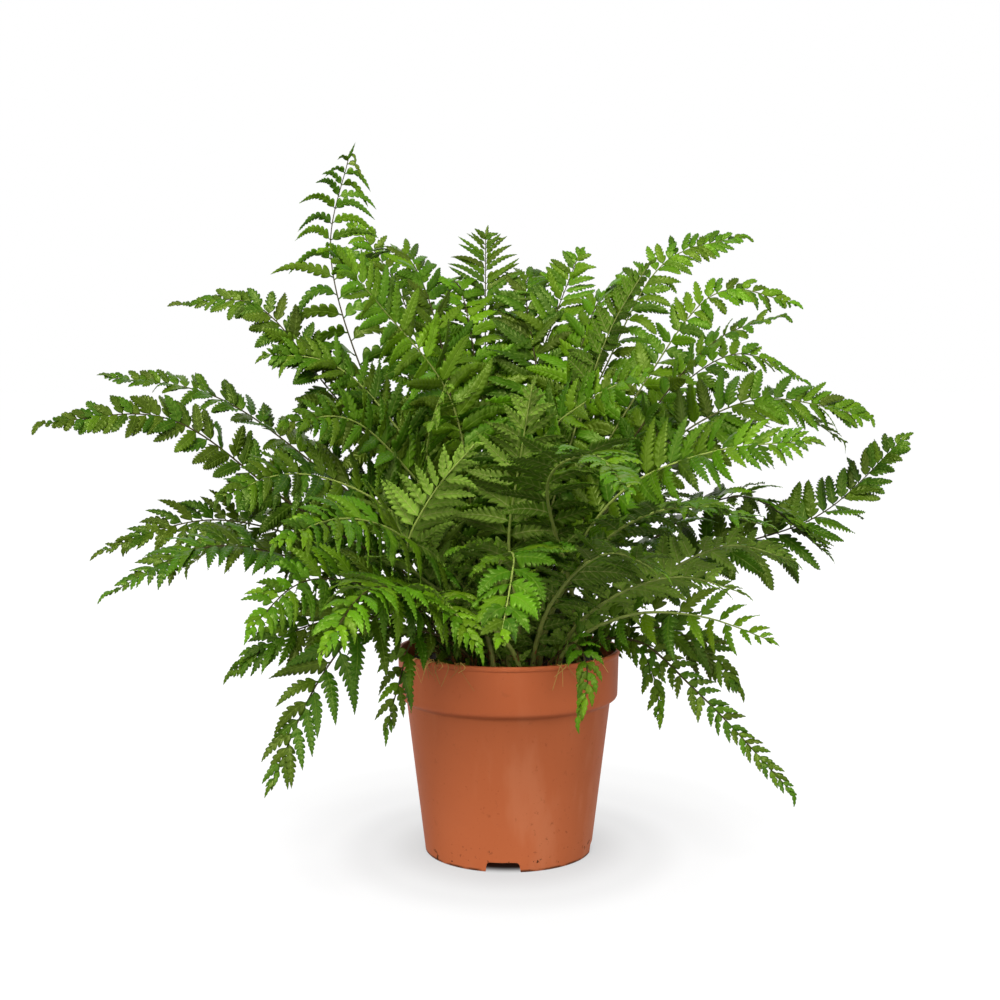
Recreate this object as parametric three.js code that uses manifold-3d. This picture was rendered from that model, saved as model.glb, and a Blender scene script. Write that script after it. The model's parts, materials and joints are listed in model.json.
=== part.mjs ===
// A potted fern: a dense bush of twice-cut fronds in a terracotta-coloured plastic nursery pot.
// Millimetres, +Z up. The origin is on the floor under the pot's axis, and the front looks along -Y.

import * as THREE from 'three';
import { mergeVertices } from 'three/addons/utils/BufferGeometryUtils.js';
import Module from 'manifold-3d';

const wasm = await Module();
wasm.setup();

// ---- Driving dimensions: pot ----
const POT_HEIGHT = 119;
const RIM_RADIUS = 65;
const LIP_HEIGHT = 2.6;
const LIP_OVERHANG = 0.8;
const LIP_ROUNDING = 0.6;
const BAND_FOOT_RADIUS = 63.5;
const BAND_FOOT_HEIGHT = 91.8;
const SHOULDER_DROP = 3;
const BODY_TOP_RADIUS = 59.4;
const BASE_RADIUS = 48.6;
const WALL = 1.8;
const FLOOR_UNDERSIDE = 6;
const FLOOR_THICKNESS = 1.6;
const FOOT_RING_WIDTH = 3;
const POT_SIDES = 32;

// Four drain notches through the foot ring, and a round hole in the floor behind each
const NOTCHES = 4;
const NOTCH_TOP_WIDTH = 17;
const NOTCH_FOOT_WIDTH = 20;
const NOTCH_HEIGHT = 5.6;
const NOTCH_TURN = THREE.MathUtils.degToRad(-93.8);
const DRAIN_HOLE_RADIUS = 4.5;
const DRAIN_HOLE_SIDES = 8;
const DRAIN_HOLE_REACH = 36;

// ---- Driving dimensions: soil ----
const GAP = 0.3;
const SOIL_GAP = 0.5;
const SOIL_EDGE_HEIGHT = 109;
const SOIL_CROWN_HEIGHT = 112;
const SOIL_SIDES = 24;
const STEM_HOLE_RADIUS = 2.55;
const STEM_HOLE_SIDES = 4;
const STEM_DEPTH = 16;
const STEM_CUTTER_LENGTH = 40;
const SEATS = 66;
const SEAT_DISC_RADIUS = 47;
const LOW_STEM_RADIUS = 60;
const STEM_RADIUS_FALL = 0.14;
const INNER_STEM_RADIUS = 8;

// ---- Driving dimensions: fronds ----
const RIB_HALF_WIDTH = 1.25;
const RIB_TIP_HALF_WIDTH = 0.75;
const RIB_DEPTH = 1.9;
const RIB_TIP_DEPTH = 1.2;
const RIB_TOP_SHARE = 0.4;
const STEM_RISE = 2;
const BLADE_THICKNESS = 0.8;
const BARE_SHARE = 0.36;
const STALK_STEP = 50;
const PAIR_SPACING = 14.4;
const FEWEST_PAIRS = 5;
const MOST_PAIRS = 13;
const LEAFLET_WAIST = 0.38;
const LEAFLET_FILL = 0.86;
const LEAFLET_SAG = 0.1;
const END_LEAFLET = 8;
const INWARD_TILT = 0.35;
const SWEEP_AT_FOOT = THREE.MathUtils.degToRad(14);
const SWEEP_AT_TIP = THREE.MathUtils.degToRad(46);

// Bends, in degrees about the rib, that a leaflet tries in turn until it is clear of its neighbours
const BENDS = [0, 12, -12, 24, -24, 36, -36, 48, -48];
const SHORTER = [1, 0.78, 0.58];
const SHORTEST_LEAFLET = 9;
const THICKEST_HALF = 1.2;
const CLEAR = 0.45;
const OWN_CLEAR = 0.85;
const RIM_CLEARANCE = 2.5;
const RIB_MOUTH_RADIUS = 57;

// A rib that meets another tries the nearest free seats and a path moved in growing steps
const SEATS_TRIED = 4;
const NUDGES = 160;
const NUDGE_STEP = 0.16;

// ---- Colours ----
const TERRACOTTA = 0xb05d39;
const PEAT = 0x2a1d15;
const BRIGHT = 0x5fa32f;
const MIDDLE = 0x437f22;
const DARK = 0x2c5d1a;
const OLIVE = 0x76904a;

// ---- Which way the upper face of a frond looks ----
const UP = new THREE.Vector3(0, 0, 1);
const TO_VIEWER = new THREE.Vector3(0, -0.85, 0.55);
const HALF_TO_VIEWER = new THREE.Vector3(0, -0.45, 0.9);
const AWAY = new THREE.Vector3(0, 0.7, 0.7);

// ---- The fronds seen from the front ----
// path: three points that the rib passes after it leaves the soil, the last one its tip.
// leaflet: length of the longest leaflet.
const FRONT_FRONDS = [
  {
    name: 'left_1', leaflet: 34, face: TO_VIEWER, colour: BRIGHT,
    path: [[-78, 20, 260], [-105, 30, 350], [-93, 30, 408]],
  },
  {
    name: 'left_2', leaflet: 30, face: TO_VIEWER, colour: DARK,
    path: [[-105, 5, 270], [-148, 10, 318], [-195, 20, 318]],
  },
  {
    name: 'left_3', leaflet: 26, face: HALF_TO_VIEWER, colour: DARK,
    path: [[-115, -15, 230], [-168, -20, 266], [-226, -25, 276]],
  },
  {
    name: 'left_4', leaflet: 32, face: TO_VIEWER, colour: MIDDLE,
    path: [[-122, -45, 208], [-182, -70, 254], [-242, -105, 252]],
  },
  {
    name: 'left_5', leaflet: 30, face: TO_VIEWER, colour: BRIGHT,
    path: [[-100, -25, 178], [-165, -40, 197], [-226, -50, 180]],
  },
  {
    name: 'left_6', leaflet: 30, face: HALF_TO_VIEWER, colour: MIDDLE,
    path: [[-88, -62, 168], [-155, -92, 188], [-204, -122, 166]],
  },
  {
    name: 'left_7', leaflet: 24, face: TO_VIEWER, colour: MIDDLE,
    path: [[-88, -30, 140], [-122, -42, 134], [-155, -50, 112]],
  },
  {
    name: 'left_8', leaflet: 34, face: TO_VIEWER, colour: BRIGHT,
    path: [[-70, -78, 150], [-97, -102, 122], [-122, -122, 68]],
  },
  {
    name: 'left_9', leaflet: 22, face: TO_VIEWER, colour: MIDDLE,
    path: [[-50, -66, 138], [-58, -78, 116], [-66, -84, 86]],
  },
  {
    name: 'left_10', leaflet: 32, face: TO_VIEWER, colour: BRIGHT,
    path: [[-72, -88, 166], [-104, -130, 174], [-126, -166, 154]],
  },
  {
    name: 'left_11', leaflet: 30, face: HALF_TO_VIEWER, colour: BRIGHT,
    path: [[-46, -96, 162], [-70, -148, 172], [-88, -186, 148]],
  },
  {
    name: 'right_1', leaflet: 28, face: TO_VIEWER, colour: BRIGHT,
    path: [[58, 30, 282], [95, 45, 345], [146, 60, 362]],
  },
  {
    name: 'right_2', leaflet: 26, face: TO_VIEWER, colour: BRIGHT,
    path: [[78, 0, 272], [122, 5, 325], [167, 10, 318]],
  },
  {
    name: 'right_3', leaflet: 22, face: HALF_TO_VIEWER, colour: DARK,
    path: [[80, -20, 255], [118, -30, 298], [152, -40, 310]],
  },
  {
    name: 'right_4', leaflet: 24, face: TO_VIEWER, colour: MIDDLE,
    path: [[86, 58, 250], [142, 75, 290], [190, 90, 272]],
  },
  {
    name: 'right_5', leaflet: 34, face: TO_VIEWER, colour: MIDDLE,
    path: [[76, 4, 222], [142, 14, 262], [216, 25, 252]],
  },
  {
    name: 'right_6', leaflet: 24, face: UP, colour: OLIVE,
    path: [[105, 32, 222], [168, 42, 254], [206, 50, 236]],
  },
  {
    name: 'right_7', leaflet: 34, face: TO_VIEWER, colour: DARK,
    path: [[108, 30, 166], [188, 42, 192], [244, 55, 240]],
  },
  {
    name: 'right_8', leaflet: 28, face: AWAY, colour: OLIVE,
    path: [[80, -32, 162], [120, -52, 184], [153, -72, 178]],
  },
  {
    name: 'right_9', leaflet: 24, face: AWAY, colour: OLIVE,
    path: [[58, -62, 158], [90, -92, 172], [120, -112, 166]],
  },
  {
    name: 'right_10', leaflet: 30, face: TO_VIEWER, colour: OLIVE,
    path: [[66, -54, 146], [104, -74, 148], [138, -92, 138]],
  },
  {
    name: 'right_11', leaflet: 22, face: TO_VIEWER, colour: DARK,
    path: [[78, -8, 132], [110, -20, 124], [132, -30, 98]],
  },
  {
    name: 'right_12', leaflet: 15, face: TO_VIEWER, colour: BRIGHT,
    path: [[68, -46, 132], [104, -66, 104], [152, -86, 54]],
  },
  {
    name: 'right_13', leaflet: 12, face: TO_VIEWER, colour: MIDDLE,
    path: [[68, -24, 128], [82, -28, 108], [86, -30, 82]],
  },
  {
    name: 'right_14', leaflet: 14, face: TO_VIEWER, colour: BRIGHT,
    path: [[36, -62, 132], [42, -80, 116], [36, -82, 92]],
  },
  {
    name: 'top_1', leaflet: 38, face: TO_VIEWER, colour: DARK,
    path: [[-14, 50, 230], [-14, 75, 305], [-14, 92, 366]],
  },
  {
    name: 'top_2', leaflet: 40, face: TO_VIEWER, colour: MIDDLE,
    path: [[6, 40, 245], [26, 60, 305], [45, 75, 354]],
  },
  {
    name: 'top_3', leaflet: 28, face: AWAY, colour: MIDDLE,
    path: [[40, 5, 250], [60, 10, 305], [82, 15, 342]],
  },
  {
    name: 'top_4', leaflet: 42, face: TO_VIEWER, colour: BRIGHT,
    path: [[-32, -28, 262], [-68, -45, 312], [-98, -60, 346]],
  },
  {
    name: 'top_5', leaflet: 32, face: TO_VIEWER, colour: BRIGHT,
    path: [[-45, 50, 262], [-68, 75, 330], [-100, 95, 376]],
  },
  {
    name: 'middle_1', leaflet: 32, face: TO_VIEWER, colour: BRIGHT,
    path: [[-6, -68, 172], [2, -120, 186], [-5, -172, 150]],
  },
  {
    name: 'middle_2', leaflet: 32, face: AWAY, colour: OLIVE,
    path: [[-54, -80, 180], [-40, -98, 215], [-18, -112, 242]],
  },
  {
    name: 'middle_3', leaflet: 34, face: AWAY, colour: OLIVE,
    path: [[0, -40, 185], [6, -60, 232], [12, -80, 272]],
  },
  {
    name: 'middle_4', leaflet: 26, face: TO_VIEWER, colour: BRIGHT,
    path: [[-44, -50, 225], [-40, -76, 255], [-32, -96, 274]],
  },
  {
    name: 'middle_5', leaflet: 24, face: TO_VIEWER, colour: BRIGHT,
    path: [[-38, -82, 160], [-30, -112, 160], [-14, -132, 138]],
  },
  {
    name: 'middle_6', leaflet: 28, face: AWAY, colour: MIDDLE,
    path: [[32, -82, 170], [52, -122, 188], [74, -162, 182]],
  },
  {
    name: 'middle_7', leaflet: 30, face: TO_VIEWER, colour: MIDDLE,
    path: [[16, -30, 236], [46, -50, 265], [77, -70, 280]],
  },
  {
    name: 'middle_8', leaflet: 32, face: TO_VIEWER, colour: MIDDLE,
    path: [[60, -52, 212], [104, -80, 236], [158, -100, 244]],
  },
  {
    name: 'middle_9', leaflet: 30, face: UP, colour: DARK,
    path: [[52, -74, 190], [86, -112, 210], [126, -152, 204]],
  },
  {
    name: 'middle_10', leaflet: 32, face: TO_VIEWER, colour: DARK,
    path: [[-74, -62, 210], [-110, -92, 230], [-146, -122, 215]],
  },
  {
    name: 'middle_11', leaflet: 32, face: TO_VIEWER, colour: DARK,
    path: [[-56, -42, 225], [-86, -72, 254], [-118, -102, 252]],
  },
  {
    name: 'middle_12', leaflet: 32, face: TO_VIEWER, colour: DARK,
    path: [[-70, 0, 250], [-102, -5, 286], [-140, -10, 290]],
  },
  {
    name: 'middle_13', leaflet: 32, face: TO_VIEWER, colour: BRIGHT,
    path: [[-56, -92, 190], [-88, -140, 210], [-112, -178, 200]],
  },
  {
    name: 'middle_14', leaflet: 30, face: UP, colour: MIDDLE,
    path: [[20, -72, 218], [40, -140, 238], [54, -204, 224]],
  },
];

// ---- The fronds behind, by rule: tiers from the low, drooping ones to the erect ones ----
const BACK_TIERS = [
  { name: 'back_low', count: 5, from: 12, to: 168, reach: 203, crest: 198, droop: 36, leaflet: 32 },
  { name: 'back_middle', count: 5, from: 28, to: 150, reach: 160, crest: 258, droop: 14, leaflet: 32 },
  { name: 'back_high', count: 4, from: 40, to: 146, reach: 112, crest: 338, droop: 0, leaflet: 38 },
];

// ---- Small helpers ----

function vector([x, y, z]) {
  return new THREE.Vector3(x, y, z);
}

function seededRandom(seed) {
  let state = seed;
  return () => {
    state = (state + 0x6d2b79f5) | 0;
    let mixed = Math.imul(state ^ (state >>> 15), 1 | state);
    mixed = (mixed + Math.imul(mixed ^ (mixed >>> 7), 61 | mixed)) ^ mixed;
    return ((mixed ^ (mixed >>> 14)) >>> 0) / 4294967296;
  };
}

function toSolid(geometry) {
  const bare = geometry.clone();
  bare.deleteAttribute('normal');
  bare.deleteAttribute('uv');
  const merged = mergeVertices(bare, 1e-4);
  const corners = merged.index.array;
  const triangles = [];
  for (let i = 0; i < corners.length; i += 3) {
    const [a, b, c] = [corners[i], corners[i + 1], corners[i + 2]];
    if (a !== b && b !== c && c !== a) {
      triangles.push(a, b, c);
    }
  }
  const mesh = new wasm.Mesh({
    numProp: 3,
    vertProperties: merged.attributes.position.array,
    triVerts: Uint32Array.from(triangles),
  });
  return new wasm.Manifold(mesh);
}

function toGeometry(solid) {
  const mesh = solid.getMesh();
  const geometry = new THREE.BufferGeometry();
  geometry.setAttribute('position', new THREE.BufferAttribute(mesh.vertProperties, 3));
  geometry.setIndex(new THREE.BufferAttribute(mesh.triVerts, 1));
  geometry.computeVertexNormals();
  return geometry;
}

function turned(profile, sides) {
  const points = profile.map(([radius, height]) => new THREE.Vector2(radius, height));
  return new THREE.LatheGeometry(points, sides).rotateX(Math.PI / 2);
}

// ---- Pot ----

// Radius of the pot's outside at a height on the body, below the band
function bodyRadius(height) {
  const bodyTop = BAND_FOOT_HEIGHT - SHOULDER_DROP;
  return BASE_RADIUS + ((BODY_TOP_RADIUS - BASE_RADIUS) * height) / bodyTop;
}

const FLOOR_TOP = FLOOR_UNDERSIDE + FLOOR_THICKNESS;
const BODY_TOP_HEIGHT = BAND_FOOT_HEIGHT - SHOULDER_DROP;
const BAND_TOP_RADIUS = RIM_RADIUS - LIP_OVERHANG;
const BAND_BORE = BAND_FOOT_RADIUS - WALL;

function makePotShell() {
  const profile = [
    [0, FLOOR_UNDERSIDE],
    [bodyRadius(FLOOR_UNDERSIDE) - FOOT_RING_WIDTH, FLOOR_UNDERSIDE],
    [BASE_RADIUS - FOOT_RING_WIDTH, 0],
    [BASE_RADIUS, 0],
    [BODY_TOP_RADIUS, BODY_TOP_HEIGHT],
    [BAND_FOOT_RADIUS, BAND_FOOT_HEIGHT],
    [BAND_TOP_RADIUS, POT_HEIGHT - LIP_HEIGHT],
    [RIM_RADIUS, POT_HEIGHT - LIP_HEIGHT],
    [RIM_RADIUS, POT_HEIGHT - LIP_ROUNDING],
    [RIM_RADIUS - LIP_ROUNDING, POT_HEIGHT],
    [BAND_TOP_RADIUS - WALL, POT_HEIGHT],
    [BAND_BORE, BAND_FOOT_HEIGHT],
    [BODY_TOP_RADIUS - WALL, BODY_TOP_HEIGHT - 1],
    [bodyRadius(FLOOR_TOP) - WALL, FLOOR_TOP],
    [0, FLOOR_TOP],
  ];
  return toSolid(turned(profile, POT_SIDES));
}

// A block with the notch's outline, lying along +X through the foot ring
function makeNotchCutter() {
  const outline = new THREE.Shape();
  outline.moveTo(-NOTCH_FOOT_WIDTH / 2, -1);
  outline.lineTo(NOTCH_FOOT_WIDTH / 2, -1);
  outline.lineTo(NOTCH_TOP_WIDTH / 2, NOTCH_HEIGHT);
  outline.lineTo(-NOTCH_TOP_WIDTH / 2, NOTCH_HEIGHT);
  const block = new THREE.ExtrudeGeometry(outline, { depth: 20, bevelEnabled: false });
  block.rotateX(Math.PI / 2);
  block.rotateZ(Math.PI / 2);
  block.translate(BASE_RADIUS - 12, 0, 0);
  return block;
}

function makeDrainHoleCutter() {
  const rod = new THREE.CylinderGeometry(DRAIN_HOLE_RADIUS, DRAIN_HOLE_RADIUS, 6, DRAIN_HOLE_SIDES);
  rod.rotateX(Math.PI / 2);
  rod.translate(DRAIN_HOLE_REACH, 0, FLOOR_UNDERSIDE + FLOOR_THICKNESS / 2);
  return rod;
}

function makePot() {
  let pot = makePotShell();
  for (let i = 0; i < NOTCHES; i += 1) {
    const turn = NOTCH_TURN + (i * 2 * Math.PI) / NOTCHES;
    pot = pot.subtract(toSolid(makeNotchCutter().rotateZ(turn)));
    pot = pot.subtract(toSolid(makeDrainHoleCutter().rotateZ(turn)));
  }
  return toGeometry(pot);
}

// ---- Soil ----

function makeSoil(seats) {
  const profile = [
    [0, FLOOR_TOP + GAP],
    [bodyRadius(FLOOR_TOP) - WALL - GAP, FLOOR_TOP + GAP],
    [BODY_TOP_RADIUS - WALL - SOIL_GAP, BODY_TOP_HEIGHT - 1],
    [BAND_BORE - SOIL_GAP, BAND_FOOT_HEIGHT],
    [BAND_BORE - SOIL_GAP, SOIL_EDGE_HEIGHT],
    [SEAT_DISC_RADIUS * 0.6, SOIL_CROWN_HEIGHT],
    [0, SOIL_CROWN_HEIGHT],
  ];
  let soil = toSolid(turned(profile, SOIL_SIDES));
  for (const seat of seats) {
    const length = STEM_CUTTER_LENGTH;
    const rod = new THREE.CylinderGeometry(STEM_HOLE_RADIUS, STEM_HOLE_RADIUS, length, STEM_HOLE_SIDES);
    rod.rotateX(Math.PI / 2);
    rod.translate(seat.x, seat.y, SOIL_CROWN_HEIGHT - STEM_DEPTH - GAP + length / 2);
    soil = soil.subtract(toSolid(rod));
  }
  return toGeometry(soil);
}

// ---- Seats: where the stems stand, as the seeds of a sunflower lie ----

const GOLDEN_ANGLE = Math.PI * (3 - Math.sqrt(5));

function makeSeats() {
  const seats = [];
  for (let i = 0; i < SEATS; i += 1) {
    const radius = SEAT_DISC_RADIUS * Math.sqrt((i + 0.5) / SEATS);
    const angle = i * GOLDEN_ANGLE;
    seats.push(new THREE.Vector3(radius * Math.cos(angle), radius * Math.sin(angle), SOIL_CROWN_HEIGHT));
  }
  return seats;
}

// Where a frond wants to stand: low fronds near the rim, erect ones inside
function wantedSeat(path) {
  const crest = path[1];
  const wanted = new THREE.Vector3(path[0].x, path[0].y, 0).normalize();
  const radius = LOW_STEM_RADIUS - STEM_RADIUS_FALL * crest.z;
  wanted.multiplyScalar(THREE.MathUtils.clamp(radius, INNER_STEM_RADIUS, SEAT_DISC_RADIUS - 2));
  return wanted.setZ(SOIL_CROWN_HEIGHT);
}

// ---- Clearance between fronds ----
// Each leaflet and each length of rib is kept as a few triangles of its middle surface, with half its
// thickness as padding.

function makePiece(triangles) {
  const box = new THREE.Box3();
  for (const { triangle } of triangles) {
    box.expandByPoint(triangle.a).expandByPoint(triangle.b).expandByPoint(triangle.c);
  }
  const sphere = box.getBoundingSphere(new THREE.Sphere());
  sphere.radius += THICKEST_HALF;
  return { triangles, sphere };
}

function edgesOf({ a, b, c }) {
  return [new THREE.Line3(a, b), new THREE.Line3(b, c), new THREE.Line3(c, a)];
}

const spot = new THREE.Vector3();
const otherSpot = new THREE.Vector3();
const ray = new THREE.Ray();

function edgePierces(edge, { a, b, c }) {
  ray.origin.copy(edge.start);
  ray.direction.subVectors(edge.end, edge.start).normalize();
  const hit = ray.intersectTriangle(a, b, c, false, spot);
  return hit !== null && hit.distanceTo(edge.start) <= edge.distance();
}

function trianglesAreNear(first, second, distance) {
  for (const [one, other] of [[first, second], [second, first]]) {
    for (const corner of [one.a, one.b, one.c]) {
      if (other.closestPointToPoint(corner, spot).distanceTo(corner) < distance) {
        return true;
      }
    }
    for (const edge of edgesOf(one)) {
      if (edgePierces(edge, other)) {
        return true;
      }
    }
  }
  for (const edge of edgesOf(first)) {
    for (const otherEdge of edgesOf(second)) {
      if (edge.distanceSqToLine3(otherEdge, spot, otherSpot) < distance * distance) {
        return true;
      }
    }
  }
  return false;
}

// How far apart the middle surfaces of two parts must lie: of different fronds, and of one frond
const betweenFronds = (one, other) => one.padding + other.padding + CLEAR;
const withinFrond = () => OWN_CLEAR;

function piecesAreNear(first, second, distanceOf = betweenFronds) {
  if (!first.sphere.intersectsSphere(second.sphere)) {
    return false;
  }
  return first.triangles.some((one) => second.triangles.some((other) => (
    trianglesAreNear(one.triangle, other.triangle, distanceOf(one, other))
  )));
}

// True where a piece comes too near the pot: its wall for a rib, its mouth too for a leaflet
function touchesPot(piece, mouthRadius) {
  const isTooNear = (point) => {
    const radius = Math.hypot(point.x, point.y);
    const isLow = point.z < POT_HEIGHT + RIM_CLEARANCE;
    return isLow && radius < RIM_RADIUS + RIM_CLEARANCE && radius > mouthRadius;
  };
  return piece.triangles.some(({ triangle: { a, b, c } }) => (
    [[a, b], [b, c], [c, a]].some(([start, end]) => (
      [0, 0.25, 0.5, 0.75, 1].some((share) => isTooNear(spot.lerpVectors(start, end, share)))
    ))
  ));
}

// ---- Frond: a three-sided rib, with flat leaflets grown out of both its sides ----

// Stations along the rib: a straight foot in the soil, the bare stalk, then one step for each pair
function makeRings(seat, path, face) {
  const knee = new THREE.Vector3().lerpVectors(seat, path[0], 0.12);
  knee.z = THREE.MathUtils.lerp(seat.z, path[0].z, 0.34);
  const curve = new THREE.CatmullRomCurve3([seat, knee, ...path], false, 'centripetal');
  const length = curve.getLength();
  const stalkLength = length * BARE_SHARE;
  const bladeLength = length - stalkLength - END_LEAFLET;
  const pairs = THREE.MathUtils.clamp(Math.round(bladeLength / PAIR_SPACING), FEWEST_PAIRS, MOST_PAIRS);
  const stalkSteps = Math.max(2, Math.round(stalkLength / STALK_STEP));
  const stations = [
    { centre: seat.clone().setZ(seat.z - STEM_DEPTH), along: UP, share: 0 },
    { centre: seat.clone().setZ(seat.z + STEM_RISE), along: UP, share: 0 },
  ];
  const addStation = (distance) => {
    const share = distance / length;
    stations.push({ centre: curve.getPointAt(share), along: curve.getTangentAt(share), share });
  };
  for (let i = 1; i <= stalkSteps; i += 1) {
    addStation((stalkLength * i) / stalkSteps);
  }
  for (let i = 1; i <= pairs; i += 1) {
    addStation(stalkLength + (bladeLength * i) / pairs);
  }
  faceStations(stations, face, stations.length - 1 - Math.floor(pairs / 2));
  return {
    rings: stations.map(makeRing),
    tip: curve.getPointAt(1),
    pairs,
    spacing: bladeLength / pairs,
    firstPairRing: stations.length - 1 - pairs,
  };
}

// Turns the upper side towards face at the blade's middle, and carries it from there without a twist
function faceStations(stations, face, middle) {
  const level = (station, direction) => {
    const up = direction.clone().addScaledVector(station.along, -direction.dot(station.along));
    station.up = up.normalize();
  };
  level(stations[middle], face);
  for (let i = middle + 1; i < stations.length; i += 1) {
    level(stations[i], stations[i - 1].up);
  }
  for (let i = middle - 1; i >= 0; i -= 1) {
    level(stations[i], stations[i + 1].up);
  }
}

// The rib's section at a station: two upper edges and a keel
function makeRing({ centre, along, up, share }) {
  const right = new THREE.Vector3().crossVectors(along, up);
  const halfWidth = THREE.MathUtils.lerp(RIB_HALF_WIDTH, RIB_TIP_HALF_WIDTH, share);
  const depth = THREE.MathUtils.lerp(RIB_DEPTH, RIB_TIP_DEPTH, share);
  const top = centre.clone().addScaledVector(up, depth * RIB_TOP_SHARE);
  return {
    centre,
    along,
    up,
    depth,
    rightEdge: top.clone().addScaledVector(right, halfWidth),
    leftEdge: top.clone().addScaledVector(right, -halfWidth),
    keel: top.clone().addScaledVector(up, -depth),
  };
}

// The upper face of a frond looks up and a little inward, more so where the stem is erect
function faceOf(face, path) {
  const inward = new THREE.Vector3(-path[2].x, -path[2].y, 0).normalize();
  return face.clone().addScaledVector(inward, INWARD_TILT).normalize();
}

function ribPieces({ rings, tip }) {
  const pieces = [];
  for (let i = 1; i + 1 < rings.length; i += 1) {
    const [here, next] = [rings[i], rings[i + 1]];
    const sink = new THREE.Vector3().copy(here.up).multiplyScalar(-here.depth / 2);
    const corners = [here.leftEdge, here.rightEdge, next.rightEdge, next.leftEdge];
    const [a, b, c, d] = corners.map((corner) => corner.clone().add(sink));
    pieces.push(makePiece([
      { triangle: new THREE.Triangle(a, b, c), padding: here.depth / 2 },
      { triangle: new THREE.Triangle(a, c, d), padding: here.depth / 2 },
    ]));
  }
  const last = rings[rings.length - 1];
  pieces.push(makePiece([
    { triangle: new THREE.Triangle(last.leftEdge, last.rightEdge, tip), padding: RIB_TIP_DEPTH / 2 },
  ]));
  return pieces;
}

// Length of a leaflet as a share of the longest, by its place on the blade
function leafletShare(place) {
  const fromFoot = Math.min(1, 0.72 + 1.6 * place);
  return fromFoot * (0.26 + 0.74 * (1 - place) ** 0.72);
}

// How much the rib turns towards a direction between two rings, in radians
function ringTurn(here, next, direction) {
  return new THREE.Vector3().subVectors(next.along, here.along).dot(direction);
}

// A leaflet on the side of the rib between two rings: waist and tip. A shorter one keeps its waist.
function makeLeaflet(here, next, side, place, length, waistReach, spacing, bendDegrees) {
  const along = new THREE.Vector3().addVectors(here.along, next.along).normalize();
  const up = new THREE.Vector3().addVectors(here.up, next.up);
  up.addScaledVector(along, -up.dot(along)).normalize();
  const outward = new THREE.Vector3().crossVectors(along, up).multiplyScalar(side);
  const bend = THREE.MathUtils.degToRad(bendDegrees);
  const sweep = THREE.MathUtils.lerp(SWEEP_AT_FOOT, SWEEP_AT_TIP, place);
  const raised = outward.clone().multiplyScalar(Math.cos(bend)).addScaledVector(up, Math.sin(bend));
  const towards = raised.clone().multiplyScalar(Math.cos(sweep)).addScaledVector(along, Math.sin(sweep));
  const upward = new THREE.Vector3().crossVectors(towards, along).multiplyScalar(side).normalize();
  const edge = side > 0 ? 'rightEdge' : 'leftEdge';
  const root = new THREE.Vector3().lerpVectors(here[edge], next[edge], 0.5);
  const waist = root.clone().addScaledVector(towards, waistReach);
  const narrowing = 1 - (ringTurn(here, next, outward) * waistReach) / spacing;
  const halfWaist = (LEAFLET_FILL * spacing * Math.min(1, narrowing)) / 2;
  const tip = root.clone().addScaledVector(towards, length);
  tip.z -= length * LEAFLET_SAG;
  const back = waist.clone().addScaledVector(along, -halfWaist);
  const front = waist.clone().addScaledVector(along, halfWaist);
  const backSkins = skinsOf(back, upward);
  const frontSkins = skinsOf(front, upward);
  const faces = leafletFaces(here[edge], next[edge], here.keel, next.keel, backSkins, frontSkins, tip);
  return { back, front, tip, faces };
}

// The points of the upper and under face above and below a point of the middle surface
function skinsOf(point, upward) {
  return [
    point.clone().addScaledVector(upward, BLADE_THICKNESS / 2),
    point.clone().addScaledVector(upward, -BLADE_THICKNESS / 2),
  ];
}

// A leaflet's twelve triangles, facing out on the right side of the rib
function leafletFaces(rootBack, rootFront, keelBack, keelFront, backSkins, frontSkins, tip) {
  const [backTop, backUnder] = backSkins;
  const [frontTop, frontUnder] = frontSkins;
  const upper = [
    [rootBack, backTop, frontTop],
    [rootBack, frontTop, rootFront],
    [backTop, tip, frontTop],
  ];
  const under = [
    [keelBack, frontUnder, backUnder],
    [keelBack, keelFront, frontUnder],
    [backUnder, frontUnder, tip],
  ];
  const behind = [
    [rootBack, keelBack, backUnder],
    [rootBack, backUnder, backTop],
    [backTop, backUnder, tip],
  ];
  const ahead = [
    [rootFront, frontTop, frontUnder],
    [rootFront, frontUnder, keelFront],
    [frontTop, tip, frontUnder],
  ];
  return [...upper, ...under, ...behind, ...ahead];
}

// True where the triangles of two leaflets that share a root corner cross
function facesCross(faces, otherFaces) {
  return faces.some((face) => otherFaces.some((other) => {
    if (face.some((corner) => other.includes(corner))) {
      return false;
    }
    const one = new THREE.Triangle(...face);
    const two = new THREE.Triangle(...other);
    return edgesOf(one).some((edge) => edgePierces(edge, two))
      || edgesOf(two).some((edge) => edgePierces(edge, one));
  }));
}

// The whole leaflet, and its free part: all but the half nearest the rib of what lies before the waist
function leafletPieces(here, next, side, { back, front, tip }) {
  const edge = side > 0 ? 'rightEdge' : 'leftEdge';
  const rootBack = new THREE.Vector3().lerpVectors(here[edge], here.keel, 0.5);
  const rootFront = new THREE.Vector3().lerpVectors(next[edge], next.keel, 0.5);
  const rootPadding = here.depth / 2;
  const outer = { triangle: new THREE.Triangle(back, tip, front), padding: BLADE_THICKNESS / 2 };
  const whole = makePiece([
    { triangle: new THREE.Triangle(rootBack, back, front), padding: rootPadding },
    { triangle: new THREE.Triangle(rootBack, front, rootFront), padding: rootPadding },
    outer,
  ]);
  const midBack = new THREE.Vector3().lerpVectors(rootBack, back, 0.5);
  const midFront = new THREE.Vector3().lerpVectors(rootFront, front, 0.5);
  const free = makePiece([
    { triangle: new THREE.Triangle(midBack, back, front), padding: rootPadding },
    { triangle: new THREE.Triangle(midBack, front, midFront), padding: rootPadding },
    outer,
  ]);
  return { whole, free };
}

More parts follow.
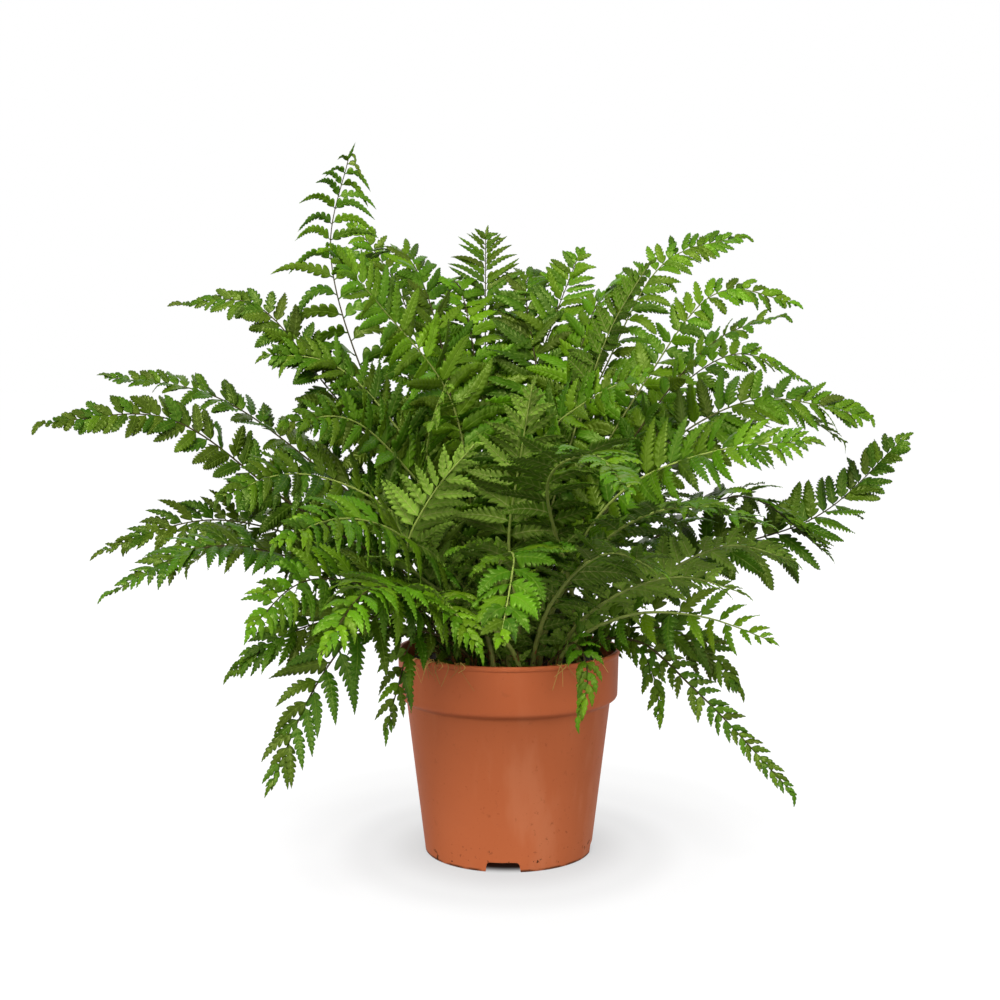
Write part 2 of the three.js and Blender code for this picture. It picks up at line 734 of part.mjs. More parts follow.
// True where a leaflet meets its own frond beyond the length of rib that it grows from
function meetsOwnFrond(frond, ring, { whole, free }) {
  return frond.ribs.some((rib, i) => i + 1 !== ring && piecesAreNear(free, rib, withinFrond))
    || frond.blades.some((blade) => piecesAreNear(free, blade, withinFrond))
    || frond.freeParts.some((part) => piecesAreNear(whole, part, withinFrond));
}

// Adds leaflets to a frond one by one: each is bent, then shortened, until it is clear of the others
function growLeaflets(frond, fronds, random) {
  const others = fronds.filter((other) => other !== frond);
  const obstacles = others.flatMap((other) => [...other.ribs, ...other.blades]);
  const reach = new THREE.Sphere(new THREE.Vector3(), frond.leaflet * 2);
  for (let i = 0; i < frond.pairs; i += 1) {
    const ring = frond.firstPairRing + i;
    const place = i / (frond.pairs - 1);
    reach.center.copy(frond.rings[ring].centre);
    const near = obstacles.filter((piece) => piece.sphere.intersectsSphere(reach));
    for (const side of [1, -1]) {
      const length = frond.leaflet * leafletShare(place) * (0.94 + 0.12 * random());
      const lean = -6 + 12 * random();
      const grown = findClearLeaflet(frond, ring, side, place, length, lean, near);
      if (grown) {
        frond.leaflets.push({ ring, side, ...grown.leaflet });
        frond.blades.push(grown.whole);
        frond.freeParts.push(grown.free);
      }
    }
  }
}

function findClearLeaflet(frond, ring, side, place, length, lean, near) {
  const [here, next] = [frond.rings[ring], frond.rings[ring + 1]];
  const neighbour = frond.leaflets.find((one) => one.ring === ring - 1 && one.side === side);
  const full = Math.max(SHORTEST_LEAFLET, length);
  for (const share of SHORTER) {
    for (const bend of BENDS) {
      const reach = full * LEAFLET_WAIST;
      const leaflet = makeLeaflet(here, next, side, place, full * share, reach, frond.spacing, lean + bend);
      const pieces = leafletPieces(here, next, side, leaflet);
      const isClear = !touchesPot(pieces.whole, 0)
        && !near.some((other) => piecesAreNear(pieces.whole, other))
        && !meetsOwnFrond(frond, ring, pieces)
        && !(neighbour && facesCross(leaflet.faces, neighbour.faces));
      if (isClear) {
        return { leaflet, ...pieces };
      }
    }
  }
  return null;
}

// ---- Frond mesh ----

function makeFrondGeometry({ rings, tip, leaflets }) {
  const numbers = new Map();
  const points = [];
  const corners = [];
  const numberOf = (point) => {
    if (!numbers.has(point)) {
      numbers.set(point, numbers.size);
      points.push(point.x, point.y, point.z);
    }
    return numbers.get(point);
  };
  const addFace = (a, b, c) => corners.push(numberOf(a), numberOf(b), numberOf(c));
  const first = rings[0];
  const last = rings[rings.length - 1];
  addFace(first.rightEdge, first.leftEdge, first.keel);
  addFace(last.leftEdge, last.rightEdge, tip);
  addFace(last.rightEdge, last.keel, tip);
  addFace(last.keel, last.leftEdge, tip);
  for (let i = 0; i + 1 < rings.length; i += 1) {
    const [here, next] = [rings[i], rings[i + 1]];
    addFace(here.leftEdge, here.rightEdge, next.rightEdge);
    addFace(here.leftEdge, next.rightEdge, next.leftEdge);
    for (const side of [1, -1]) {
      const leaflet = leaflets.find((one) => one.ring === i && one.side === side);
      for (const [a, b, c] of leaflet ? leaflet.faces : bareSide(here, next, side)) {
        // A triangle is turned over on the left, so that it faces out there too
        addFace(a, ...(side > 0 ? [b, c] : [c, b]));
      }
    }
  }
  const geometry = new THREE.BufferGeometry();
  geometry.setAttribute('position', new THREE.Float32BufferAttribute(points, 3));
  geometry.setIndex(corners);
  geometry.computeVertexNormals();
  return geometry;
}

// The rib's own side between two rings, where no leaflet grows
function bareSide(here, next, side) {
  const edge = side > 0 ? 'rightEdge' : 'leftEdge';
  return [[here[edge], here.keel, next.keel], [here[edge], next.keel, next[edge]]];
}

// ---- The bush ----

function backFronds() {
  const random = seededRandom(7);
  const fronds = [];
  const colours = [MIDDLE, DARK, BRIGHT, MIDDLE, OLIVE];
  for (const tier of BACK_TIERS) {
    for (let i = 0; i < tier.count; i += 1) {
      const even = THREE.MathUtils.lerp(tier.from, tier.to, i / (tier.count - 1));
      const azimuth = THREE.MathUtils.degToRad(even + 8 * (random() - 0.5));
      const reach = tier.reach * (0.95 + 0.1 * random());
      const crest = tier.crest * (0.96 + 0.08 * random());
      const at = (share, height) => [
        reach * share * Math.cos(azimuth),
        reach * share * Math.sin(azimuth),
        height,
      ];
      fronds.push({
        name: `${tier.name}_${i + 1}`,
        path: [
          at(0.42, THREE.MathUtils.lerp(SOIL_CROWN_HEIGHT, crest, 0.7)),
          at(0.72, crest),
          at(1, crest - tier.droop),
        ],
        leaflet: tier.leaflet,
        face: new THREE.Vector3(0, 0.5 * (random() - 0.5), 1),
        colour: colours[fronds.length % colours.length],
      });
    }
  }
  return fronds;
}

// Tries the nearest free seats, and moves the path a little in growing steps, until the rib is clear
function placeRib(plan, freeSeats, placed, random) {
  const placedRibs = placed.flatMap((other) => other.ribs);
  const start = plan.path.map(vector);
  const wanted = wantedSeat(start);
  freeSeats.sort((a, b) => a.distanceTo(wanted) - b.distanceTo(wanted));
  for (let step = 0; step < NUDGES; step += 1) {
    const nudge = NUDGE_STEP * step;
    const seat = freeSeats[step % SEATS_TRIED];
    const path = start.map((point, i) => new THREE.Vector3(
      point.x + (i < 2 ? nudge : 0.3 * nudge) * (2 * random() - 1),
      point.y + nudge * (2 * random() - 1),
      point.z + (i < 2 ? nudge : 0.3 * nudge) * (2 * random() - 1),
    ));
    const shape = makeRings(seat, path, faceOf(plan.face, path));
    const ribs = ribPieces(shape);
    const isBlocked = ribs.some((rib) => (
      touchesPot(rib, RIB_MOUTH_RADIUS) || placedRibs.some((other) => piecesAreNear(rib, other))
    ));
    if (!isBlocked) {
      freeSeats.splice(freeSeats.indexOf(seat), 1);
      return { ...plan, ...shape, seat, ribs, leaflets: [], blades: [], freeParts: [] };
    }
  }
  throw new Error(`no clear path for ${plan.name}`);
}

function makeFronds() {
  const random = seededRandom(11);
  const freeSeats = makeSeats();
  const fronds = [];
  for (const plan of [...FRONT_FRONDS, ...backFronds()]) {
    fronds.push(placeRib(plan, freeSeats, fronds, random));
  }
  for (const frond of fronds) {
    growLeaflets(frond, fronds, random);
  }
  return fronds;
}

// ---- The whole object ----

function makeMesh(name, geometry, colour, roughness) {
  const material = new THREE.MeshStandardMaterial({ color: colour, roughness, metalness: 0 });
  const mesh = new THREE.Mesh(geometry, material);
  mesh.name = name;
  return mesh;
}

const fronds = makeFronds();
const fern = new THREE.Group();
fern.add(makeMesh('pot', makePot(), TERRACOTTA, 0.55));
fern.add(makeMesh('soil', makeSoil(fronds.map((frond) => frond.seat)), PEAT, 0.95));
for (const frond of fronds) {
  fern.add(makeMesh(`frond_${frond.name}`, makeFrondGeometry(frond), frond.colour, 0.5));
}

export default fern;
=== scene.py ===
# %% [markdown]
# # A potted fern
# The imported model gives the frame: a nursery pot, its soil and fifty-eight plain fronds. This
# script keeps every frond where it is and grows a finer one around the same rib, with toothed
# leaflets, veins and a stalk. It also turns a smoother pot, heaps crumbs on the soil and lays a
# few root fibres over the rim. Units are metres, +Z up.

# %% The frame
import json
import math
import random

import bmesh
import bpy
import numpy as np
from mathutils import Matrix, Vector, noise


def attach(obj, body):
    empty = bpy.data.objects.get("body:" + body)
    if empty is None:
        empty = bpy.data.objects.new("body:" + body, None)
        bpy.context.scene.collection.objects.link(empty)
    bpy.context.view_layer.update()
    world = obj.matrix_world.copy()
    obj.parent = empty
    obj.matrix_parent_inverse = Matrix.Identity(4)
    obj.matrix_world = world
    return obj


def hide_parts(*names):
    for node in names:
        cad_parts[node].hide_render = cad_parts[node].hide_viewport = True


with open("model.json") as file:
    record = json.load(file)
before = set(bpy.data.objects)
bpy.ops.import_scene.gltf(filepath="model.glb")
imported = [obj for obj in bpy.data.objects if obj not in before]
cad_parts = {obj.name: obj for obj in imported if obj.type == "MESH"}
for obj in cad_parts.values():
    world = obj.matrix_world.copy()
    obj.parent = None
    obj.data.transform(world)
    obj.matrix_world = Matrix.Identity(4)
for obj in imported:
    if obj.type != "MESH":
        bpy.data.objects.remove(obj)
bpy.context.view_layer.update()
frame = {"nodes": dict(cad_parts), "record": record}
MM = 0.001
scene = bpy.context.scene
frond_names = [name for name in sorted(frame["nodes"]) if name.startswith("frond_")]

# %% [markdown]
# ## Camera
# The photograph is taken from a little above the rim, level with the middle of the bush, with a
# short telephoto lens. The camera's place was found from the pot's rim and foot ellipses. It comes
# first, so that every later choice can be checked against the photograph.

# %% Camera
CAMERA_PLACE = (-4.9 * MM, -900 * MM, 277 * MM)
CAMERA_PITCH = 4.58
FOCAL_LENGTH = 56.16
SENSOR_WIDTH = 36


def put_in_scene(name, data):
    """A new object for a mesh, a lamp or the camera."""
    piece = bpy.data.objects.new(name, data)
    scene.collection.objects.link(piece)
    return piece


camera_data = bpy.data.cameras.new("camera")
camera_data.lens = FOCAL_LENGTH
camera_data.sensor_width = SENSOR_WIDTH
camera = put_in_scene("camera", camera_data)
camera.location = CAMERA_PLACE
camera.rotation_euler = (math.radians(90 - CAMERA_PITCH), 0, 0)
bpy.context.scene.camera = camera
print("camera at", tuple(round(v, 3) for v in camera.location))

# %% [markdown]
# ## Shader maths as plain Python
# A material is a graph of nodes, and sums written as nodes are hard to read. The class below wraps
# a socket, so that `1 - mask * 0.5` adds the two Math nodes that it needs. Every other node comes
# from `Finish.add`, which sets the node up first and then fills or links its sockets.

# %% Sockets with arithmetic


class Wire:
    """A number that varies over a surface, as an output socket of a shader."""

    def __init__(self, finish, socket):
        self.finish = finish
        self.socket = socket

    def combine(self, operation, first, second=0.0):
        sockets = {0: first, 1: second}
        return self.finish.add("ShaderNodeMath", {"operation": operation}, sockets)

    def __add__(self, other):
        return self.combine("ADD", self, other)

    def __radd__(self, other):
        return self.combine("ADD", other, self)

    def __sub__(self, other):
        return self.combine("SUBTRACT", self, other)

    def __rsub__(self, other):
        return self.combine("SUBTRACT", other, self)

    def __mul__(self, other):
        return self.combine("MULTIPLY", self, other)

    def __rmul__(self, other):
        return self.combine("MULTIPLY", other, self)

    def size(self):
        return self.combine("ABSOLUTE", self)

    def fraction(self):
        return self.combine("FRACT", self)

    def between(self, low, high):
        """0 below low, 1 above high, and smooth in between."""
        sockets = {"Value": self, "From Min": low, "From Max": high}
        return self.finish.add(
            "ShaderNodeMapRange", {"interpolation_type": "SMOOTHSTEP"}, sockets
        )


class Finish:
    """A material that is built node by node."""

    def __init__(self, name):
        self.material = bpy.data.materials.new(name)
        self.material.use_nodes = True
        self.tree = self.material.node_tree
        self.tree.nodes.clear()

    def add(self, kind, settings=None, sockets=None, output=0):
        node = self.tree.nodes.new(kind)
        for name, value in (settings or {}).items():
            setattr(node, name, value)
        for name, value in (sockets or {}).items():
            if isinstance(value, Wire):
                self.tree.links.new(value.socket, node.inputs[name])
            else:
                node.inputs[name].default_value = value
        return Wire(self, node.outputs[output]) if len(node.outputs) else node

    def attribute(self, name):
        return self.add("ShaderNodeAttribute", {"attribute_name": name}, output="Fac")

    def blend(self, factor, first, second):
        """One colour turning into another."""
        sockets = {0: factor, 6: colour_value(first), 7: colour_value(second)}
        return self.add("ShaderNodeMix", {"data_type": "RGBA"}, sockets, output=2)

    def place(self):
        """Where a point is on its piece."""
        return self.add("ShaderNodeTexCoord", output="Object")

    def stretched(self, place, amounts):
        return self.add("ShaderNodeMapping", None, {"Vector": place, "Scale": amounts})

    def speckle(self, scale, detail=3.0, roughness=0.55):
        """Noise that is as fine every way."""
        sockets = {"Vector": self.place(), "Scale": scale, "Detail": detail}
        sockets["Roughness"] = roughness
        return self.add("ShaderNodeTexNoise", None, sockets, output="Fac")

    def streaks(self, fineness, detail):
        """Noise that is drawn out: the larger an amount, the finer it is along that axis."""
        sockets = {"Vector": self.stretched(self.place(), fineness), "Scale": 1.0, "Detail": detail}
        return self.add("ShaderNodeTexNoise", None, sockets, output="Fac")

    def bump(self, height, distance, strength):
        sockets = {"Height": height, "Distance": distance, "Strength": strength}
        return self.add("ShaderNodeBump", None, sockets)

    def surface(self, **sockets):
        """The shader itself. Names are the Principled node's, with _ for a space."""
        named = {name.replace("_", " "): value for name, value in sockets.items()}
        return self.add("ShaderNodeBsdfPrincipled", None, named)

    def close(self, shader):
        self.add("ShaderNodeOutputMaterial", None, {"Surface": shader})
        return self.material


def colour_value(colour):
    return colour if isinstance(colour, Wire) else (*colour, 1)


def paint(red, green, blue):
    """A colour as a picture shows it, 0 to 255, turned into the light that it sends back."""
    values = (red / 255, green / 255, blue / 255)
    return tuple(v / 12.92 if v <= 0.04045 else ((v + 0.055) / 1.055) ** 2.4 for v in values)


print("shader helpers ready; mid grey is", [round(v, 3) for v in paint(128, 128, 128)])

# %% [markdown]
# ## Meshes from grids
# Leaflets, stalks and root fibres are all grids of points. A leaflet is a thin closed sheet: an
# upper grid, an under grid and a narrow rim between them. The rim is flat-shaded, so that its
# corners don't darken the faces beside it. `Growth` gathers such grids and makes one mesh of them.

# %% Growth


class Growth:
    """Points, faces and numbers for the shader, gathered piece by piece."""

    NUMBERS = ("across", "vein", "under", "tone", "old")

    def __init__(self):
        self.points = []
        self.faces = []
        self.smooth = []
        self.finishes = []
        self.numbers = {name: [] for name in self.NUMBERS}
        self.count = 0

    def add(self, points, faces, smooth, finish, **numbers):
        self.points.append(points.reshape(-1, 3))
        self.faces.append(faces + self.count)
        self.smooth.append(smooth)
        self.finishes.append(np.full(len(faces), finish))
        size = points.size // 3
        for name in self.NUMBERS:
            value = np.asarray(numbers.get(name, 0.0), float).reshape(-1)
            self.numbers[name].append(np.broadcast_to(value, (size,)))
        self.count += size

    def build(self, name, materials):
        mesh = bpy.data.meshes.new(name)
        points = np.concatenate(self.points)
        faces = np.concatenate(self.faces)
        mesh.vertices.add(len(points))
        mesh.vertices.foreach_set("co", points.ravel())
        mesh.loops.add(faces.size)
        mesh.loops.foreach_set("vertex_index", faces.ravel())
        mesh.polygons.add(len(faces))
        mesh.polygons.foreach_set("loop_start", np.arange(len(faces)) * 4)
        mesh.polygons.foreach_set("material_index", np.concatenate(self.finishes))
        mesh.polygons.foreach_set("use_smooth", np.concatenate(self.smooth))
        for key, parts in self.numbers.items():
            layer = mesh.attributes.new(key, "FLOAT", "POINT")
            layer.data.foreach_set("value", np.concatenate(parts))
        mesh.update(calc_edges=True)
        mesh.validate()
        for material in materials:
            mesh.materials.append(material)
        return put_in_scene(name, mesh)


def grid_faces(rows, columns, closed=False):
    """Four-cornered faces of a grid; a closed grid joins its last column to the first."""
    row = np.arange(rows - 1)[:, None]
    column = np.arange(columns if closed else columns - 1)[None, :]
    following = (column + 1) % columns
    corners = [
        row * columns + column,
        row * columns + following,
        (row + 1) * columns + following,
        (row + 1) * columns + column,
    ]
    return np.stack([corner.ravel() for corner in corners], axis=1)


def sheet_faces(rows, columns):
    """Faces of a thin closed sheet: the upper grid, the under grid turned over, and the rim."""
    upper = grid_faces(rows, columns)
    size = rows * columns
    border = [r * columns for r in range(rows)]
    border += [(rows - 1) * columns + c for c in range(1, columns)]
    border += [r * columns + columns - 1 for r in range(rows - 2, -1, -1)]
    border += list(range(columns - 2, 0, -1))
    border = np.array(border)
    following = np.roll(border, -1)
    rim = np.stack([border, following, following + size, border + size], axis=1)
    faces = np.concatenate([upper, upper[:, ::-1] + size, rim])
    smooth = np.arange(len(faces)) < 2 * len(upper)
    return faces, smooth


def unit(vectors):
    return vectors / np.linalg.norm(vectors, axis=-1, keepdims=True)


print("a sheet of 6 by 5 points has", len(sheet_faces(6, 5)[0]), "faces")

# %% [markdown]
# ## Reading a plain frond
# Each frond node is a three-sided rib with flat leaflets. Its mesh has no names inside, so its
# corners are told apart by shape: every leaflet is 0.8 mm thick at its waist, and its tip joins
# four waist corners. What is left, in threes, is the rib. From these come the rib's line, its
# upper side, and where each leaflet points.

# %% Reading
SAME_POINT = 0.002 * MM
BLADE_THICKNESS = 0.8 * MM
THICKNESS_SLACK = 0.01 * MM
WIDEST_RING = 3.5 * MM


def neighbours_of(mesh):
    """The mesh's separate corners, and which of them are joined by an edge."""
    corners = np.zeros(len(mesh.vertices) * 3)
    mesh.vertices.foreach_get("co", corners)
    corners = corners.reshape(-1, 3)
    rounded = np.round(corners / SAME_POINT).astype(np.int64)
    _, first, number = np.unique(rounded, axis=0, return_index=True, return_inverse=True)
    number = number.ravel()
    joined = [set() for _ in first]
    for face in mesh.polygons:
        ends = [number[v] for v in face.vertices]
        for a, b in zip(ends, ends[1:] + ends[:1]):
            if a != b:
                joined[a].add(b)
                joined[b].add(a)
    return corners[first], joined


def connected(members, is_joined):
    """Splits members into groups in which one can step from any to any other."""
    left = set(members)
    groups = []
    while left:
        group = {left.pop()}
        edge = list(group)
        while edge:
            here = edge.pop()
            near = {other for other in left if is_joined(here, other)}
            left -= near
            group |= near
            edge += list(near)
        groups.append(sorted(group))
    return groups


def read_frond(name):
    """A frond's points and edges, its rings from the soil up, its end and its leaflets' tips."""
    points, joined = neighbours_of(frame["nodes"][name].data)

    def distance(a, b):
        return np.linalg.norm(points[a] - points[b])

    def in_one_ring(a, b):
        return b in joined[a] and distance(a, b) < WIDEST_RING

    waist = set()
    for a, near in enumerate(joined):
        for b in near:
            if abs(distance(a, b) - BLADE_THICKNESS) < THICKNESS_SLACK:
                waist |= {a, b}
    tips = [a for a, near in enumerate(joined) if len(near) == 4 and near <= waist]
    rib = [a for a in range(len(points)) if a not in waist and a not in tips]
    groups = connected(rib, in_one_ring)
    rings = [group for group in groups if len(group) == 3]
    end = [group[0] for group in groups if len(group) == 1][0]
    ordered = [ring for ring in rings if any(end in joined[a] for a in ring)]
    rings.remove(ordered[0])
    while rings:
        step = [ring for ring in rings if any(joined[a] & set(ring) for a in ordered[-1])]
        ordered.append(step[0])
        rings.remove(step[0])
    return points, joined, ordered[::-1], end, tips


first_frond = read_frond(frond_names[0])
print("the first frond has", len(first_frond[2]), "rings and", len(first_frond[4]), "leaflets")

# %% [markdown]
# ## The line of a rib
# A rib is known at its rings only, so a smooth line is drawn through them. The slope at each ring
# weighs the steps on both sides by their lengths, which keeps the line from swinging out where a
# long step of bare stalk meets the short steps of the blade.

# %% Rib line
FINE_STEPS = 10
SLOPE_STEP = 1.5 * MM


class Rib:
    """The smooth line of a rib from the soil to its tip, with its upper side."""

    def __init__(self, points, rings, end):
        centres = np.array([points[ring].mean(axis=0) for ring in rings] + [points[end]])
        keels = [self.keel_of(points, ring) for ring in rings]
        ups = [
            unit(points[[a for a in ring if a != keel]].mean(axis=0) - points[keel])
            for ring, keel in zip(rings, keels)
        ]
        steps = np.linalg.norm(np.diff(centres, axis=0), axis=1)
        slopes = np.diff(centres, axis=0) / steps[:, None]
        tangents = np.empty_like(centres)
        tangents[0], tangents[-1] = slopes[0], slopes[-1]
        before, after = steps[:-1, None], steps[1:, None]
        tangents[1:-1] = (slopes[1:] * before + slopes[:-1] * after) / (before + after)
        line = []
        for i, step in enumerate(steps):
            u = np.arange(FINE_STEPS)[:, None] / FINE_STEPS
            line.append(
                (1 + 2 * u) * (1 - u) ** 2 * centres[i]
                + u * (1 - u) ** 2 * step * tangents[i]
                + u * u * (3 - 2 * u) * centres[i + 1]
                + u * u * (u - 1) * step * tangents[i + 1]
            )
        self.line = np.concatenate([*line, centres[-1:]])
        gaps = np.linalg.norm(np.diff(self.line, axis=0), axis=1)
        self.reach = np.concatenate([[0], np.cumsum(gaps)])
        self.ring_reach = self.reach[::FINE_STEPS]
        self.ups = np.array(ups + ups[-1:])
        self.length = self.reach[-1]

    @staticmethod
    def keel_of(points, ring):
        """The lower corner of a ring: the one that is as far from both others."""
        def uneven(corner):
            far = [np.linalg.norm(points[corner] - points[o]) for o in ring if o != corner]
            return abs(far[0] - far[1])
        return min(ring, key=uneven)

    def at(self, reach):
        """Place, direction, upper side and right side at distances along the rib."""
        reach = np.asarray(reach, float)

        def pick(values, known):
            return np.stack([np.interp(reach, known, part) for part in values.T], -1)

        place = pick(self.line, self.reach)
        ahead = pick(self.line, self.reach - SLOPE_STEP)
        behind = pick(self.line, self.reach + SLOPE_STEP)
        along = unit(ahead - behind)
        up = pick(self.ups, self.ring_reach)
        up = unit(up - along * (up * along).sum(-1, keepdims=True))
        return place, along, up, np.cross(along, up)


first_rib = Rib(first_frond[0], *first_frond[2:4])
print("first rib is", round(first_rib.length / MM), "mm long")

# %% [markdown]
# ## Where the leaflets point
# The plain frond says how long its leaflets are and which way they lean, side by side. A real
# frond has more of them, so the lengths and leans are read as smooth functions of the distance
# along the rib, and any number of leaflets can follow. A plain leaflet that was kept short to
# clear a neighbour would leave a dent, so each counts as nearly as long as the ones beside it.

# %% Leaflet guides
NEIGHBOUR_SHARE = 0.85
LAST_LEAFLET = 4 * MM


class Guide:
    """Length and direction of the leaflets on one side of a rib, by distance along it."""

    def __init__(self, rows, rib_length):
        rows = sorted(rows)
        self.reach = np.array([row[0] for row in rows])
        length = np.array([row[1] for row in rows])
        padded = np.pad(length, 1)
        length = np.maximum(length, NEIGHBOUR_SHARE * np.maximum(padded[:-2], padded[2:]))
        self.length = np.append(length, LAST_LEAFLET)
        self.length_reach = np.append(self.reach, rib_length)
        self.lean = np.array([row[2] for row in rows])

    def at(self, reach):
        length = np.interp(reach, self.length_reach, self.length)
        lean = np.array([np.interp(reach, self.reach, part) for part in self.lean.T])
        return length, lean / np.linalg.norm(lean)


def guides_of(points, joined, rings, tips, rib):
    """A guide for each side, 1 on the right and -1 on the left, and where the blade starts."""
    ring_of = {corner: i for i, ring in enumerate(rings) for corner in ring}
    rows = {1: [], -1: []}
    first_ring = len(rings)
    for tip in tips:
        waist = list(joined[tip])
        touched = [ring_of[c] for w in waist for c in joined[w] if c in ring_of]
        ring = min(touched)
        first_ring = min(first_ring, ring)
        reach = (rib.ring_reach[ring] + rib.ring_reach[ring + 1]) / 2
        place, along, up, right = rib.at(reach)
        side = 1 if np.dot(points[tip] - place, right) > 0 else -1
        towards = points[waist].mean(axis=0) - place
        lean = [np.dot(towards, axis) for axis in (right * side, along, up)]
        rows[side].append((reach, np.linalg.norm(points[tip] - place), unit(np.array(lean))))
    guides = {side: Guide(found, rib.length) for side, found in rows.items()}
    return guides, rib.ring_reach[first_ring]


points, joined, rings, _, tips = first_frond
first_start = guides_of(points, joined, rings, tips, first_rib)[1]
print("its blade starts", round(first_start / MM), "mm from the stalk's foot")

# %% [markdown]
# ## One leaflet
# A leaflet of this fern is cut into lobes: deep, blunt and nearly free beside the stalk, then
# shallower, and only teeth along its drawn-out point. The lobe next to the stalk on the side of
# the frond's tip is the largest. Rows of points cross the leaflet from edge to edge, five to a
# lobe, and lean forward as the side veins do. So a notch is a slanting cut between two lobes, and
# the shader can draw a vein along the middle of each. A flat card with a picture of a leaflet
# would be less work, but it has no teeth, thickness or droop from the side.

# %% Rows of a leaflet
STALK_SHARE = 0.05
STALK_FLARE = 0.02
TIP_WIDTH = 0.015
TIP_DEPTH = 0.16
DEPTH_POWER = 1.3
TOOTH_CROWDING = 1.35
FULL_POWER, POINT_POWER = 1.6, 1.25
WAIST_DEPTH, WAIST_REACH = 0.45, 0.04
# Each row of a lobe: how far along it, how wide (a notch is worked out), and its vein number.
LOBE = (
    (0.04, None, 0.5), (0.2, 0.86, 0.72), (0.45, 1.0, 0.95), (0.7, 0.97, 1.15), (0.9, 0.74, 1.35),
)


def leaflet_rows(teeth, depth, roundness, seat):
    """For each row: its place from root to tip, its width share, its vein number."""
    rows = [(0.0, seat, 0.5), (STALK_SHARE, seat + STALK_FLARE, 0.5)]
    for i in range(teeth):
        for step, share, vein in LOBE:
            even = (i + step) / teeth
            place = STALK_SHARE + (1 - STALK_SHARE) * (1 - (1 - even) ** TOOTH_CROWDING)
            width = (1 - even ** (FULL_POWER + roundness)) ** (POINT_POWER - roundness)
            opening = 1 - WAIST_DEPTH * math.exp(-even / WAIST_REACH)
            notch = 1 - TIP_DEPTH - (depth - TIP_DEPTH) * (1 - even) ** DEPTH_POWER
            rows.append((place, width * opening * (share or notch), i + vein))
    rows.append((1.0, TIP_WIDTH, teeth + 0.5))
    return np.array(rows)


print("a leaflet with 8 lobes has", len(leaflet_rows(8, 0.7, 0, 0.1)), "rows")

# %% Sheet of a leaflet
COLUMNS = np.array([-1, -0.55, 0, 0.55, 1])
SHEET_THICKNESS = 0.28 * MM
TIP_THINNING = 0.6
EAR_PLACE, EAR_REACH = 0.12, 0.08
CUT_DEPTH, CUT_REACH = 0.3, 0.14
SLANT_START, SLANT_GROWTH, SLANT_END_POWER = 0.25, 3, 4
FOLD_POWER = 0.6
CURL_PACE = 1.7


def leaflet_midrib(root, axes, place, length, shape):
    """The drooping line of a leaflet's middle, and its direction at each row."""
    towards, upward, along = axes
    sag = towards * towards[2] - np.array([0, 0, 1])
    bend = along * shape["hook"] + sag * shape["droop"]
    heading = towards + np.outer(1 - 2 * place, upward) * shape["arch"]
    heading = unit(heading + 2 * np.outer(place ** shape["bend_power"], bend))
    steps = (heading[1:] + heading[:-1]) / 2 * np.diff(place)[:, None] * length
    return root + np.concatenate([np.zeros((1, 3)), np.cumsum(steps, axis=0)]), heading


def leaflet_sheet(root, axes, length, half_width, shape):
    """The points of one leaflet's upper and under grid, and its rows' vein numbers."""
    _, upward, along = axes
    rows = leaflet_rows(shape["teeth"], shape["depth"], shape["roundness"], shape["seat"])
    place, width, vein = rows.T
    middle, tangent = leaflet_midrib(root, axes, place, length, shape)
    upper = unit(upward - tangent * (tangent @ upward)[:, None])
    across = np.cross(upper, tangent)
    if np.dot(across[0], along) < 0:
        across = -across
    turn = (shape["twist"] * place ** 2)[:, None]
    upper, across = (
        upper * np.cos(turn) + across * np.sin(turn),
        across * np.cos(turn) - upper * np.sin(turn),
    )
    ear = 1 + shape["ear"] * np.exp(-(((place - EAR_PLACE) / EAR_REACH) ** 2))
    cut = 1 - CUT_DEPTH * np.exp(-((place / CUT_REACH) ** 2))
    widths = [width * cut, width * cut, width, width * ear, width * ear]
    offset = np.stack(widths, 1) * half_width * COLUMNS
    slant = np.minimum(1, SLANT_START + SLANT_GROWTH * place) * (1 - place ** SLANT_END_POWER)
    forward = shape["slant"] * np.abs(offset) * slant[:, None]
    ripple = np.sin(2 * np.pi * vein + shape["phase"])[:, None]
    curl = np.sin(CURL_PACE * vein + 2 * shape["phase"])[:, None]
    rise = -shape["fold"] * np.abs(offset) * np.abs(COLUMNS) ** FOLD_POWER
    rise = rise + shape["ripple"] * half_width * ripple * COLUMNS ** 2
    rise = rise + shape["curl"] * half_width * curl * COLUMNS
    points = (
        middle[:, None]
        + across[:, None] * offset[..., None]
        + tangent[:, None] * forward[..., None]
        + upper[:, None] * rise[..., None]
    )
    skin = upper[:, None] * (SHEET_THICKNESS / 2 * (1 - TIP_THINNING * place)[:, None, None])
    return np.stack([points + skin, points - skin]), vein


print("each row of a leaflet has", len(COLUMNS), "points above and as many below")

# %% [markdown]
# ## Tubes
# Stalks and root fibres are tubes: rings of points across a line, with both ends closed.

# %% Tubes
TUBE_SIDES = 8


def tube_faces(rows):
    sides = TUBE_SIDES
    faces = grid_faces(rows, sides, closed=True)
    cap = np.array([[i, i + 1, sides - 2 - i, sides - 1 - i] for i in range(sides // 2 - 1)])
    return np.concatenate([faces, cap[:, ::-1], cap + (rows - 1) * sides])


def tube_points(place, up, right, radius):
    turn = 2 * np.pi * np.arange(TUBE_SIDES) / TUBE_SIDES
    spokes = up[:, None] * np.cos(turn)[:, None] + right[:, None] * np.sin(turn)[:, None]
    return place[:, None] + spokes * radius[:, None, None]


print("a tube of 10 rings has", len(tube_faces(10)), "faces")

# %% [markdown]
# ## Finishes of the leaves
# A leaf's upper side is a satin green, and its under side is paler, greyer and duller. Veins show
# as fine pale lines with a slight groove. Each leaflet has its own tone, and a few have yellowed
# or turned a cooler green. Light that falls through a leaf makes it glow yellow-green, so a part
# of the shader is translucent. Glints on a leaf are tinted too, or they would look like dust.

